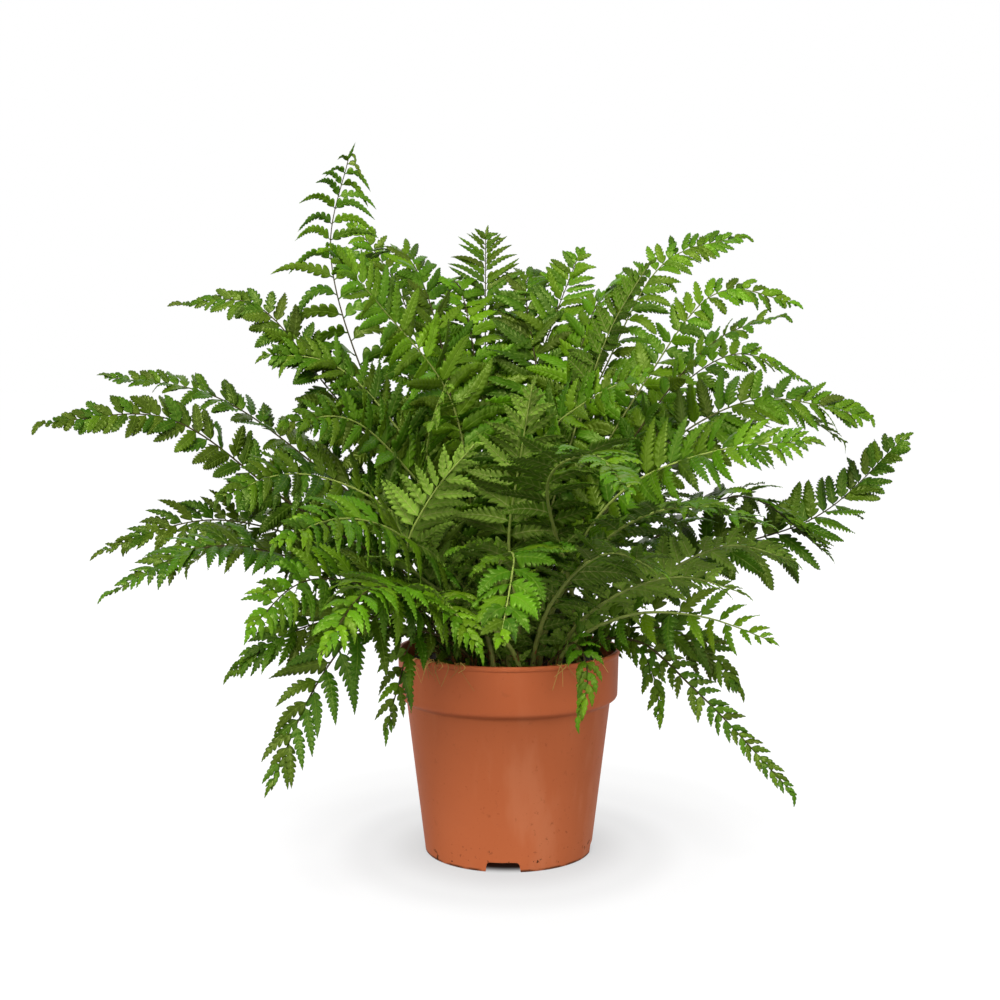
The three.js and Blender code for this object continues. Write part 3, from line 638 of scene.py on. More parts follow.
# %% Leaf finish
GLOW = paint(120, 160, 0)
GLOW_SHARE = 0.15
SHEEN_TINT = (0.85, 1.0, 0.3, 1)
SHEEN = 0.45
COOL = (0.45, 1.0, 4.0)
YELLOWED = paint(104, 118, 26)
VEINS_ABOVE, VEINS_BELOW = paint(170, 190, 80), paint(168, 170, 100)
DARKEST, BRIGHTEST, DARKEST_BELOW = 0.12, 1.9, 0.4
PATCH_FINENESS, PORE_FINENESS = 110.0, 500.0
MIDRIB_EDGE, SIDE_VEIN_EDGE = (0.02, 0.12), (0.01, 0.12)
GROOVE_DEPTH = 0.3 * MM


def scaled(colour, amount):
    return tuple(min(1, v * amount) for v in colour)


def leaf_finish(name, upper, lower):
    finish = Finish(name)
    across, vein, under, tone, old = (finish.attribute(number) for number in Growth.NUMBERS)
    midrib = 1 - across.between(*MIDRIB_EDGE)
    from_vein = ((vein + 0.5).fraction() - 0.5).size()
    side_vein = (1 - from_vein.between(*SIDE_VEIN_EDGE)) * (1 - across.between(0.7, 1.0))
    patches = finish.speckle(PATCH_FINENESS)
    # tone holds each leaflet's own lightness plus painted shade and, on two fronds, painted light.
    lightness = tone * 0.75 + patches * 0.25
    blade = finish.blend(lightness, scaled(upper, DARKEST), scaled(upper, BRIGHTEST))
    blade = finish.blend(old * patches * 0.5, blade, YELLOWED)
    cool = tuple(v * w for v, w in zip(upper, COOL))
    blade = finish.blend((1 - old).between(0.6, 1.0) * 0.35, blade, cool)
    pale = tuple(0.7 * v + 0.3 * w for v, w in zip(upper, VEINS_ABOVE))
    blade = finish.blend(midrib * 0.35 + side_vein * 0.12, blade, pale)
    below = finish.blend(lightness, scaled(lower, DARKEST_BELOW), lower)
    below = finish.blend(midrib * 0.4 + side_vein * 0.25, below, VEINS_BELOW)
    groove = (midrib * 0.7 + (1 - from_vein.between(0.0, 0.4)) * 0.4) * (under * 2 - 1)
    shader = finish.surface(
        Base_Color=finish.blend(under, blade, below),
        Roughness=0.30 + under * 0.3 + patches * 0.16,
        Normal=finish.bump(groove + finish.speckle(PORE_FINENESS) * 0.3, GROOVE_DEPTH, 0.7),
        Specular_IOR_Level=SHEEN,
        Specular_Tint=SHEEN_TINT,
    )
    glow = finish.add("ShaderNodeBsdfTranslucent", None, {"Color": (*GLOW, 1)})
    sockets = {0: GLOW_SHARE, 1: shader, 2: glow}
    return finish.close(finish.add("ShaderNodeMixShader", None, sockets))


leaf_finishes = {
    "frond_bright": leaf_finish("leaf_bright", paint(74, 112, 4), paint(98, 138, 26)),
    "frond_middle": leaf_finish("leaf_middle", paint(68, 104, 3), paint(82, 122, 18)),
    "frond_dark": leaf_finish("leaf_dark", paint(52, 84, 2), paint(66, 104, 16)),
    "frond_olive": leaf_finish("leaf_olive", paint(78, 110, 8), paint(124, 160, 52)),
}
print(len(leaf_finishes), "leaf finishes")

# %% [markdown]
# ## Finish of the stalks and scales
# A stalk may be dark brown or straw-green, and each frond has its own share of both. It is browner
# near the soil. `old` runs from 1 at the soil to 0 at the tip. The scales at its foot are brown
# and dry.

# %% Stalk finish


def stalk_finish():
    finish = Finish("stalk")
    old = finish.attribute("old")
    tone = finish.attribute("tone")
    grain = finish.speckle(300.0)
    dark = finish.blend(grain, paint(38, 34, 12), paint(70, 62, 22))
    straw = finish.blend(grain, paint(106, 126, 44), paint(154, 168, 84))
    colour = finish.blend(tone.between(0.35, 0.9), dark, straw)
    brown = finish.blend(grain, paint(48, 38, 16), paint(110, 98, 40))
    colour = finish.blend(old.between(0.5, 1.0) * 0.55, colour, brown)
    shader = finish.surface(
        Base_Color=colour,
        Roughness=0.45 + grain * 0.2,
        Normal=finish.bump(finish.speckle(900.0), 0.2 * MM, 0.5),
        Specular_IOR_Level=0.2,
    )
    return finish.close(shader)


def dry_finish(name, dark, light, roughness):
    """For dry scales and roots: each one has a tone of its own."""
    finish = Finish(name)
    colour = finish.blend(finish.attribute("tone"), dark, light)
    shader = finish.surface(Base_Color=colour, Roughness=roughness, Specular_IOR_Level=0.2)
    return finish.close(shader)


stalk = stalk_finish()
scales = dry_finish("scales", paint(58, 34, 16), paint(140, 88, 44), 0.75)
print("stalk and scale finishes ready")

# %% [markdown]
# ## Habits of the fronds
# Fronds of one plant differ by age and by place. Young bright ones are limp, tall ones have blunt
# leaflets with shallow teeth, hanging ones point their leaflets to the tip, and the inner ones
# have pale olive stalks. Each habit is a number:
#
# - `tone` is how light the leaflets are.
# - `limpness` is how far they droop, and `bend_power` how near their tips they bend.
# - `curling` is how much they twist and hook.
# - `bluntness` is how round and shallow-toothed they are.
# - `longer` and `fullness` are their length and width.
# - `spread` and `airiness` are how far apart they stand.
# - `slimness` is how early the frond narrows, and `end_lean` where its last leaflets point.
#
# The rules below give most fronds their habits. The few that stand out in the photograph are
# listed with their own.

# %% Habits
TONES = (0.22, 0.8)
BEND_POWER = 1.5
YOUNG_LIMPNESS = 2.0
YOUNG_FULLNESS = 0.92
BLUNT_HEIGHT = 240 * MM
HANGING_HEIGHT = 130 * MM
HANGING_SPREAD = 0.95
HANGING_LEAN = np.array([0.0, 0.55, 0.0])
END_LEAN = (0.0, 0.9, 0.0)
SPECIAL_HABITS = {
    "frond_left_1": {
        "limpness": 16.0, "bend_power": 2.4, "fullness": 0.58, "longer": 1.55, "spread": 1.9,
        "slimness": -0.8, "bluntness": 0.0, "end_lean": (1.4, -0.5, 0.0), "airiness": 1.6,
        "tone": 0.1,
    },
    "frond_left_2": {"slimness": 1.0},
    "frond_left_4": {"slimness": 0.6, "longer": 0.8, "tone": -0.2},
    "frond_left_5": {"slimness": 0.8, "tone": -0.4},
    "frond_left_6": {"slimness": 0.8, "tone": -0.1},
    "frond_left_8": {
        "spread": 1.4, "limpness": 0.8, "fullness": 0.85, "curling": 0.6, "tone": -0.3,
    },
    "frond_left_9": {"spread": 1.4, "limpness": 0.8, "fullness": 0.85, "airiness": 1.3},
    "frond_middle_1": {
        "limpness": 1.2, "fullness": 1.25, "longer": 1.1, "spread": 1.5, "curling": 1.5,
    },
    "frond_right_1": {"tone": 0.3},
    "frond_right_2": {"tone": 0.3},
    "frond_right_4": {"slimness": 1.0},
    "frond_right_7": {"slimness": -0.5, "bluntness": 1.0, "tone": 0.3},
    # These two turn their under sides to the camera in the shade of fronds above; their high tone
    # is painted light.
    "frond_right_8": {"tone": 1.5},
    "frond_right_9": {
        "limpness": 0.4, "curling": 0.4, "spread": 1.2, "fullness": 1.1, "tone": 2.0,
    },
    "frond_right_10": {"limpness": 0.5, "longer": 0.9, "spread": 1.5, "fullness": 0.85},
    "frond_right_12": {
        "limpness": 0.2, "longer": 0.85, "spread": 1.15, "curling": 0.5, "tone": 0.0,
    },
    "frond_top_1": {
        "slimness": -0.9, "longer": 1.3, "end_lean": (0.7, 0.1, 0.0), "bluntness": 0.3,
        "fullness": 0.85, "curling": 0.4,
    },
    "frond_top_2": {"slimness": -0.7},
}
SLOT_OF = {
    node["node"]: node["material_slot"]
    for node in frame["record"].get("subparts", [])
    if "material_slot" in node
}


def is_inner(name):
    return name.startswith("frond_middle")


def habits_of(name, rib, random_numbers):
    is_young = SLOT_OF[name] == "frond_bright"
    tip_height = rib.line[-1, 2]
    is_hanging = tip_height < HANGING_HEIGHT
    habits = {
        "tone": random_numbers.uniform(*TONES),
        "limpness": YOUNG_LIMPNESS if is_young else 1.0,
        "bend_power": BEND_POWER,
        "curling": 1.0,
        "bluntness": 1.0 if tip_height > BLUNT_HEIGHT and not is_inner(name) else 0.0,
        "longer": 1.0,
        "fullness": YOUNG_FULLNESS if is_young else 1.0,
        "spread": HANGING_SPREAD if is_hanging else 1.0,
        "airiness": 1.0,
        "slimness": 0.0,
        "lean": is_hanging * HANGING_LEAN,
        "end_lean": END_LEAN,
    }
    habits.update(SPECIAL_HABITS.get(name, {}))
    return habits


print(len(SPECIAL_HABITS), "fronds have habits of their own")

# %% [markdown]
# ## Stalks and scales
# The stalk and rib of a frond are one tapering tube along the rib's line. Thin dry scales stand
# off the lowest part, as on the living plant, and look like brown fur from afar.

# %% Stalks
STEM_RADIUS = 1.3 * MM
TIP_RADIUS = 0.25 * MM
STALK_TAPER = 0.6
STALK_ROW = 5 * MM
FEWEST_ROWS = 8
STALKS = {
    "frond_bright": {"tones": (0.1, 0.7), "thickness": 1.0},
    "frond_middle": {"tones": (0.0, 0.8), "thickness": 1.0},
    "frond_dark": {"tones": (0.0, 0.4), "thickness": 1.0},
    "frond_olive": {"tones": (0.75, 1.0), "thickness": 1.5},
}


def grow_stalk(growth, rib, tone, thickness):
    rows = max(FEWEST_ROWS, int(rib.length / STALK_ROW))
    reach = np.linspace(0, rib.length, rows)
    place, _, up, right = rib.at(reach)
    share = reach / rib.length
    radius = TIP_RADIUS + (thickness * STEM_RADIUS - TIP_RADIUS) * (1 - share ** STALK_TAPER)
    faces = tube_faces(rows)
    growth.add(
        tube_points(place, up, right, radius), faces, np.ones(len(faces), bool), 1,
        old=np.repeat(1 - share, TUBE_SIDES), tone=tone,
    )


print("a stalk is", 2 * STEM_RADIUS / MM, "mm thick at its foot")

# %% Scales
SCALES = 16
SCALY_REACH = 26 * MM
SCALE_LENGTHS_MM = (2.5, 6.0)
SCALE_WIDTHS_MM = np.array([0.45, 0.6, 0.4, 0.05])
SCALE_SKIN_MM = 0.06
SCALE_FLARES = (0.2, 0.9)
SCALE_SEAT = 0.8


def grow_scales(growth, random_numbers, rib):
    """Thin brown scales on the lowest part of a stalk, loose at their tips."""
    sides = np.array([-1, 0, 1])[None, :, None]
    faces, smooth = sheet_faces(len(SCALE_WIDTHS_MM), sides.size)
    share = np.linspace(0, 1, len(SCALE_WIDTHS_MM))
    width = (SCALE_WIDTHS_MM * MM)[:, None, None]
    for reach in random_numbers.uniform(0, SCALY_REACH, SCALES):
        place, along, up, right = rib.at(reach)
        turn = random_numbers.uniform(0, 2 * math.pi)
        out = up * math.cos(turn) + right * math.sin(turn)
        across = np.cross(out, along)
        length = random_numbers.uniform(*SCALE_LENGTHS_MM) * MM
        flare = random_numbers.uniform(*SCALE_FLARES)
        middle = place + out * STEM_RADIUS * SCALE_SEAT + np.outer(share, along) * length
        middle = middle + np.outer(share ** 2, out) * length * flare
        points = middle[:, None] + across * (width * sides)
        skin = out * SCALE_SKIN_MM * MM
        sheet = np.stack([points + skin, points - skin])
        growth.add(sheet, faces, smooth, 2, tone=random_numbers.uniform())


print(SCALES, "scales on each stalk")

# %% [markdown]
# ## Leaflets on a rib
# No two leaflets are alike: each draws how deep it is cut, how it folds, ripples and droops, and
# how far it rolls about its stalk. Short ones and blunt ones are rounder, with shallower teeth.
# Those near the frond's end lie calm and overlap like tiles.

# %% Leaflets
# The traits are drawn in this order.
TRAITS = {
    "depth": (0.5, 0.8), "ear": (0.3, 0.6), "slant": (0.7, 1.1), "fold": (-0.1, 0.4),
    "ripple": (0.04, 0.12), "curl": (0.0, 0.12), "phase": (0, 6), "hook": (0.05, 0.4),
    "droop": (0.05, 0.7), "arch": (0.0, 0.25),
}
TWIST = 0.35
TOOTH_MM, BLUNT_TOOTH_MM = 3.0, 0.5
TEETH = (3, 11)
SHORT_LENGTH, SHORT_RANGE = 16 * MM, 10 * MM
SHORT_EFFECT = {"depth": 0.2, "roundness": 0.15, "seat": 0.15, "ear": 0.5}
BLUNT_EFFECT = {"depth": 0.25, "roundness": 0.5, "ear": 0.6, "length": 0.14, "width": 0.06}
BLUNT_SHARES = (0.6, 1)
SEAT = 0.1
RAISE = 0.2
WANDER = 0.13
ROLL = 0.42
TILE_ROLL = 0.35
END_CALM = 0.85
WIDTH_SHARE, LEAST_WIDTH = 0.145, 0.6 * MM
WIDEST_FOR_SPACING = 0.62
TONE_SPREAD, TONE_AT_TIP, TONE_LOSS_TO_AGE_AND_SHADE = 0.24, 0.28, 0.85


def leaflet_shape(random_numbers, length, frond, bluntness, near_end):
    """The random traits of one leaflet."""
    shape = {name: random_numbers.uniform(*limits) for name, limits in TRAITS.items()}
    shape["twist"] = random_numbers.normal(0, TWIST)
    curling = frond["curling"] * (1 - END_CALM * near_end)
    for name in ("curl", "hook", "twist"):
        shape[name] *= curling
    is_short = np.clip((SHORT_LENGTH - length) / SHORT_RANGE, 0, 1)
    short = {name: effect * is_short for name, effect in SHORT_EFFECT.items()}
    blunt = {name: effect * bluntness for name, effect in BLUNT_EFFECT.items()}
    teeth = round(length / ((TOOTH_MM - BLUNT_TOOTH_MM * bluntness) * MM))
    shape["teeth"] = int(np.clip(teeth, *TEETH))
    shape["depth"] = shape["depth"] - short["depth"] - blunt["depth"]
    shape["roundness"] = short["roundness"] + blunt["roundness"]
    shape["seat"] = SEAT + short["seat"]
    shape["ear"] *= (1 - short["ear"]) * (1 - blunt["ear"])
    shape["droop"] *= frond["limpness"]
    shape["bend_power"] = frond["bend_power"]
    return shape


def grow_leaflet(growth, random_numbers, rib, frond, side, spot):
    """Adds one leaflet at a spot: a reach along the rib, with a length, a lean and so on."""
    place, along, up, right = rib.at(spot["reach"])
    length, lean, near_end = spot["length"], spot["lean"], spot["near_end"]
    out = right * side
    towards = out * lean[0] + along * lean[1] + up * (lean[2] + RAISE)
    towards = unit(towards + random_numbers.normal(0, WANDER * spot["looseness"], 3))
    roll = random_numbers.normal(0, ROLL) * (1 - END_CALM * near_end) + TILE_ROLL * near_end
    upward = unit(up - towards * np.dot(up, towards)) + along * roll
    upward = unit(upward - towards * np.dot(upward, towards))
    bluntness = frond["bluntness"] * random_numbers.uniform(*BLUNT_SHARES)
    length *= 1 - BLUNT_EFFECT["length"] * bluntness
    half_width = (WIDTH_SHARE + BLUNT_EFFECT["width"] * bluntness) * length + LEAST_WIDTH
    half_width = min(half_width, WIDEST_FOR_SPACING * spot["spacing"]) * frond["fullness"]
    shape = leaflet_shape(random_numbers, length, frond, bluntness, near_end)
    points, vein = leaflet_sheet(place, (towards, upward, along), length, half_width, shape)
    _, rows, columns, _ = points.shape
    faces, smooth = sheet_faces(rows, columns)
    corner = points[0, 2, 2]
    facing = np.cross(points[0, 2, 3] - corner, points[0, 3, 2] - corner)
    if np.dot(facing, upward) < 0:
        faces = faces[:, ::-1]
    # Leaflets get darker towards the frond's foot: partly older leaflets, partly painted shade
    # inside the bush.
    tone = frond["tone"] + random_numbers.normal(0, TONE_SPREAD)
    growth.add(
        points, faces, smooth, 0,
        across=np.tile(np.abs(COLUMNS), 2 * rows),
        vein=np.tile(np.repeat(vein, columns), 2),
        under=np.repeat([0.0, 1.0], rows * columns),
        tone=np.clip(tone + TONE_AT_TIP - TONE_LOSS_TO_AGE_AND_SHADE * spot["age_and_shade"], 0, 1),
        old=random_numbers.uniform() ** 2,
    )


print("a leaflet draws", len(TRAITS) + 1, "traits")

# %% [markdown]
# ## Growing the fronds
# Each frond is one piece: its stalk, then leaflets on the right and the left, closer together
# towards the tip, as on the living plant. Some stalks are bare at the foot, and others carry small
# loose leaflets nearly to the soil. The draws are seeded by the frond's number, so every run grows
# the same bush.

# %% Fronds
FIRST_SEED = 1000
WIDE_SPACING = 8.4 * MM
TIGHT_SPACING = 2.7 * MM
SPACING_POWER = 1.8
SPACING_FOR_LENGTH, LEAST_SPACING = 0.42, 0.8 * MM
SPREADS, LENGTHS, STEPS = (0.95, 1.15), (0.9, 1.1), (0.85, 1.15)
FIRST_STEP = {1: 0.15, -1: 0.6}
BARE_STALK, LEAFY_STALK = 0.6, 0.14
LEAFY_SHARE, LEAFY_INNER_SHARE = 0.9, 0.3
LOW_LENGTH, LOW_LOOSENESS = 0.4, 2.5
LONGER = 1.26
BARE_END = 1.5 * MM
END_REACH = 30 * MM
END_SHORTENING, SLIM_SHORTENING = 0.55, 0.3
END_OPENING = 0.45
END_LEAFLET = 11 * MM
END_LIMPNESS = 3.0
END_SEAT = 5 * MM


def leaflet_spots(frond, rib, guide, side, first, blade_start, random_numbers):
    """The spots of one side's leaflets, from the stalk to the tip."""
    end_reach = END_REACH * (1 + frond["slimness"])
    end_shortening = END_SHORTENING + SLIM_SHORTENING * frond["slimness"]
    reach = first + FIRST_STEP[side] * WIDE_SPACING
    while reach < rib.length - BARE_END:
        share = max(0.0, (reach - blade_start) / (rib.length - blade_start))
        near_end = max(0.0, 1 - (rib.length - reach) / end_reach)
        climb = min(1.0, (reach - first) / (blade_start - first))
        length, lean = guide.at(reach)
        lean = unit(lean + near_end * np.array(frond["end_lean"]) + frond["lean"])
        length *= LONGER * frond["longer"] * random_numbers.uniform(*LENGTHS)
        length *= 1 - end_shortening * near_end ** 2
        spacing = WIDE_SPACING + (TIGHT_SPACING - WIDE_SPACING) * share ** SPACING_POWER
        room = (SPACING_FOR_LENGTH * length + LEAST_SPACING) * frond["airiness"]
        spacing = min(frond["spread"] * spacing, room) * (1 + END_OPENING * near_end)
        yield {
            "reach": reach, "length": length * (LOW_LENGTH + (1 - LOW_LENGTH) * climb),
            "lean": lean, "spacing": spacing, "looseness": 1 + LOW_LOOSENESS * (1 - climb),
            "age_and_shade": 1 - reach / rib.length, "near_end": near_end,
        }
        reach += spacing * random_numbers.uniform(*STEPS)


def grow_frond(number, name):
    random_numbers = np.random.default_rng(FIRST_SEED + number)
    points, joined, rings, end, tips = read_frond(name)
    rib = Rib(points, rings, end)
    guides, blade_start = guides_of(points, joined, rings, tips, rib)
    growth = Growth()
    stalk_habit = STALKS["frond_olive" if is_inner(name) else SLOT_OF[name]]
    stalk_tone = random_numbers.uniform(*stalk_habit["tones"])
    grow_stalk(growth, rib, stalk_tone, stalk_habit["thickness"])
    grow_scales(growth, random_numbers, rib)
    frond = habits_of(name, rib, random_numbers)
    frond["spread"] *= random_numbers.uniform(*SPREADS)
    leafy_share = LEAFY_INNER_SHARE if is_inner(name) else LEAFY_SHARE
    is_leafy = random_numbers.uniform() < leafy_share
    first = blade_start * (LEAFY_STALK if is_leafy else BARE_STALK)
    leaflets = 0
    for side, guide in guides.items():
        for spot in leaflet_spots(frond, rib, guide, side, first, blade_start, random_numbers):
            grow_leaflet(growth, random_numbers, rib, frond, side, spot)
            leaflets += 1
    frond["limpness"] = END_LIMPNESS
    grow_leaflet(growth, random_numbers, rib, frond, 1, {
        "reach": rib.length - END_SEAT, "length": END_LEAFLET, "lean": np.array([0.0, 1.0, 0.0]),
        "spacing": TIGHT_SPACING, "looseness": 1.0, "age_and_shade": 0.0, "near_end": 0.0,
    })
    materials = [leaf_finishes[SLOT_OF[name]], stalk, scales]
    piece = growth.build(name.replace("frond", "fern"), materials)
    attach(piece, "root")
    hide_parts(name)
    return leaflets, growth.count


grown = [grow_frond(number, name) for number, name in enumerate(frond_names)]
print(sum(g[0] for g in grown), "leaflets,", sum(g[1] for g in grown), "points")

# %% [markdown]
# ## Pot
# The pot is thin moulded plastic the colour of terracotta: a tapering body, a stepped band with a
# thin rounded lip, a foot ring with four drain notches. It is turned from one outline, finer than
# the plain model's, and the notches and holes are cut out. The outline's numbers are millimetres,
# out from the middle and up.

# %% Pot outline
POT_SIDES = 160
WELD = 0.001 * MM
POT_OUTLINE = [
    (0.0, 6.0), (30.0, 6.0), (45.8, 5.9), (46.2, 5.4), (46.0, 0.6), (46.3, 0.1), (47.9, 0.0),
    (48.35, 0.12), (48.65, 0.5), (48.78, 1.2), (49.2, 5.0), (51.0, 19.8), (53.4, 39.5),
    (55.8, 59.2), (58.2, 79.0), (59.2, 87.4), (59.36, 88.2), (59.7, 88.8), (60.6, 89.5),
    (62.2, 90.5), (63.1, 91.3), (63.5, 92.2), (63.6, 94.0), (63.8, 101.0), (64.02, 110.0),
    (64.14, 115.6), (64.2, 116.1), (64.4, 116.35), (64.75, 116.5), (64.95, 116.9), (65.0, 117.6),
    (64.95, 118.3), (64.7, 118.8), (64.3, 119.0), (63.0, 119.0), (62.6, 118.85), (62.4, 118.3),
    (62.2, 110.0), (61.8, 93.0), (61.3, 91.5), (57.9, 88.2), (57.4, 86.5), (53.0, 50.0),
    (47.9, 8.6), (47.0, 7.7), (30.0, 7.6), (0.0, 7.6),
]


def turn_outline(name, outline, sides):
    profile = np.array(outline) * MM
    turn = 2 * np.pi * np.arange(sides) / sides
    points = np.stack([
        profile[:, :1] * np.cos(turn), profile[:, :1] * np.sin(turn),
        np.repeat(profile[:, 1:], sides, axis=1),
    ], axis=-1)
    mesh = bpy.data.meshes.new(name)
    faces = grid_faces(len(outline), sides, closed=True)
    mesh.from_pydata(points.reshape(-1, 3).tolist(), [], faces.tolist())
    shape = bmesh.new()
    shape.from_mesh(mesh)
    bmesh.ops.remove_doubles(shape, verts=shape.verts, dist=WELD)
    bmesh.ops.recalc_face_normals(shape, faces=shape.faces)
    shape.to_mesh(mesh)
    shape.free()
    return put_in_scene(name, mesh)


pot = turn_outline("pot_body", POT_OUTLINE, POT_SIDES)
print("pot turned,", len(pot.data.polygons), "faces")

# %% [markdown]
# ## Drain notches and holes
# Four notches go through the foot ring, a little wider at the floor, with a round hole in the
# pot's floor behind each. They are cut with Boolean modifiers, whose result replaces the mesh.

# %% Drain notches
NOTCHES = 4
NOTCH_TURN = -93.8
NOTCH_REACH = (36, 56)
NOTCH_OUTLINE = [
    (-10, -1), (10, -1), (9.2, 4.6), (8.4, 5.5), (7.4, 5.8), (-7.4, 5.8), (-8.4, 5.5), (-9.2, 4.6),
]
HOLE_RADIUS_MM = 4.5
HOLE_CORNERS = 24
HOLE_REACH = (-12, -2)
HOLE_PLACE = 36 * MM
SHARP_ANGLE = math.radians(32)


def prism(outline, start, end):
    """A block with the given outline across, lying along +X, all in millimetres."""
    mesh = bpy.data.meshes.new("cutter")
    points = [(x * MM, y * MM, z * MM) for x in (start, end) for y, z in outline]
    count = len(outline)
    faces = [tuple(range(count))[::-1], tuple(range(count, 2 * count))]
    faces += [(i, (i + 1) % count, (i + 1) % count + count, i + count) for i in range(count)]
    mesh.from_pydata(points, [], faces)
    return put_in_scene("cutter", mesh)


def cut(piece, cutters):
    for cutter in cutters:
        modifier = piece.modifiers.new("cut", "BOOLEAN")
        modifier.object = cutter
        modifier.solver = "EXACT"
    evaluated = piece.evaluated_get(bpy.context.evaluated_depsgraph_get())
    mesh = bpy.data.meshes.new_from_object(evaluated)
    piece.modifiers.clear()
    piece.data = mesh
    for cutter in cutters:
        bpy.data.objects.remove(cutter)


hole_angles = [2 * math.pi * i / HOLE_CORNERS for i in range(HOLE_CORNERS)]
hole_outline = [(HOLE_RADIUS_MM * math.cos(a), HOLE_RADIUS_MM * math.sin(a)) for a in hole_angles]
cutters = []
for i in range(NOTCHES):
    turn = math.radians(NOTCH_TURN + 360 / NOTCHES * i)
    notch = prism(NOTCH_OUTLINE, *NOTCH_REACH)
    notch.rotation_euler.z = turn
    hole = prism(hole_outline, *HOLE_REACH)
    hole.rotation_euler = (0, math.radians(90), turn)
    hole.location = (HOLE_PLACE * math.cos(turn), HOLE_PLACE * math.sin(turn), 0)
    cutters += [notch, hole]
bpy.context.view_layer.update()
cut(pot, cutters)
pot.data.shade_smooth()
pot.data.set_sharp_from_angle(angle=SHARP_ANGLE)
print("notches and holes cut,", len(pot.data.polygons), "faces")

# %% [markdown]
# ## Finish of the pot
# Moulded plastic has a dull satin sheen and an even colour, with faint clouds and upright streaks.
# The band at the rim is painted a little lighter, as painted light that makes up for the leaves'
# shade on it. Specks of soil have splashed about the foot and under the band, and a patchy dark
# line runs along the very bottom of the foot. All of it is painted by noise and by height, which
# needs no picture and follows the pot all round.

# %% Pot finish
PAINTED_LIGHT_BAND_EDGE = (89 * MM, 91 * MM)
SPLASH_HEIGHT = 22 * MM
DARK_FOOT_LINE_EDGE = (0.9 * MM, 2.0 * MM)


def pot_finish():
    finish = Finish("terracotta_plastic")
    height = finish.add("ShaderNodeSeparateXYZ", None, {"Vector": finish.place()}, output="Z")
    clouds = finish.speckle(14.0, 4.0)
    fine = finish.speckle(420.0, 2.0)
    body = finish.blend(clouds, paint(166, 85, 47), paint(184, 100, 61))
    streaks = finish.streaks((55, 55, 14), 4.0).between(0.5, 0.7)
    body = finish.blend(streaks * 0.3, body, paint(196, 124, 88))
    body = finish.blend(fine.between(0.62, 0.8) * 0.35, body, paint(146, 68, 32))
    # The band is painted lighter: painted light that makes up for the shade the leaves cast on it.
    body = finish.blend(height.between(*PAINTED_LIGHT_BAND_EDGE) * 0.5, body, paint(194, 100, 58))
    low = 1 - height.between(0.0, SPLASH_HEIGHT)
    splash = finish.speckle(210.0, 5.0, 0.7).between(0.605, 0.66)
    dirt = splash * (low * 0.9 + 0.1 + clouds.between(0.5, 0.7) * 0.3)
    body = finish.blend(dirt, body, paint(78, 46, 28))
    # A patchy dark line along the very bottom of the foot.
    foot = (1 - height.between(*DARK_FOOT_LINE_EDGE)) * finish.speckle(90.0).between(0.36, 0.55)
    body = finish.blend(foot * 0.85, body, paint(66, 38, 22))
    lines = finish.streaks((40, 40, 900), 2.0)
    shader = finish.surface(
        Base_Color=body,
        Roughness=0.46 + clouds * 0.10 + dirt * 0.3,
        Normal=finish.bump(clouds * 0.6 + lines * 0.1 + fine * 0.1, 0.4 * MM, 0.5),
        Specular_IOR_Level=0.06,
    )
    return finish.close(shader)


pot.data.materials.clear()
pot.data.materials.append(pot_finish())
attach(pot, "root")
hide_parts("pot")
print("pot finish has", len(pot.data.materials[0].node_tree.nodes), "nodes")

# %% [markdown]
# ## Soil
# The soil is peat: a low mound, rough with crumbs. The mound is a turned outline whose top is
# pushed about by noise, and loose crumbs lie on it, each a small ball pushed out of shape.

# %% Soil mound
SOIL_SIDES = 120
SOIL_RADIUS, SOIL_EDGE, SOIL_RISE = 61.0, 109.0, 3.0
SOIL_RINGS, RISING_RINGS = 40, 16
TOP_START = 108.5 * MM
SOIL_ROUGHNESS = 1.5 * MM
SOIL_FINENESS = 160
SOIL_FRACTAL = (1.0, 2.2, 5)

soil_outline = [(0.0, 8.2), (47.0, 8.2), (57.0, 87.0), (61.0, 92.5), (61.4, 108.0)]
soil_outline += [
    (SOIL_RADIUS - SOIL_RADIUS * i / SOIL_RINGS, SOIL_EDGE + SOIL_RISE * min(1, i / RISING_RINGS))
    for i in range(1, SOIL_RINGS + 1)
]
soil = turn_outline("soil_mound", soil_outline, SOIL_SIDES)
for vertex in soil.data.vertices:
    if vertex.co.z > TOP_START:
        vertex.co.z += SOIL_ROUGHNESS * noise.fractal(vertex.co * SOIL_FINENESS, *SOIL_FRACTAL)
print("soil mound turned,", len(soil.data.polygons), "faces")

# %% Soil crumbs
CRUMBS = 420
CRUMB_SEED = 5
CRUMB_REACH = 59 * MM
CRUMB_SIZES_MM = (0.5, 1.9)
CRUMB_LEVEL_MM, CRUMB_RISE_MM = 109.6, 2.6
CRUMB_LIFT = 0.2
CRUMB_FLATNESS = (0.5, 1.0)
CRUMB_ROUGHNESS, CRUMB_FINENESS = 0.45, 1.4


def add_crumbs(piece):
    draw = random.Random(CRUMB_SEED)
    shape = bmesh.new()
    shape.from_mesh(piece.data)
    for i in range(CRUMBS):
        reach = CRUMB_REACH * math.sqrt(draw.random())
        turn = draw.uniform(0, 2 * math.pi)
        size = draw.uniform(*CRUMB_SIZES_MM) * MM
        level = (CRUMB_LEVEL_MM + CRUMB_RISE_MM * (1 - reach / (SOIL_RADIUS * MM))) * MM
        made = bmesh.ops.create_icosphere(shape, subdivisions=2, radius=size)
        level += CRUMB_LIFT * size
        shift = Vector((reach * math.cos(turn), reach * math.sin(turn), level))
        flat = draw.uniform(*CRUMB_FLATNESS)
        for vertex in made["verts"]:
            spot = vertex.co / size * CRUMB_FINENESS + Vector((i, 0, 0))
            vertex.co = vertex.co * (1 + CRUMB_ROUGHNESS * noise.noise(spot))
            vertex.co.z *= flat
            vertex.co += shift
    shape.to_mesh(piece.data)
    shape.free()


add_crumbs(soil)
soil.data.shade_smooth()
print("with crumbs the soil has", len(soil.data.polygons), "faces")

# %% Soil finish


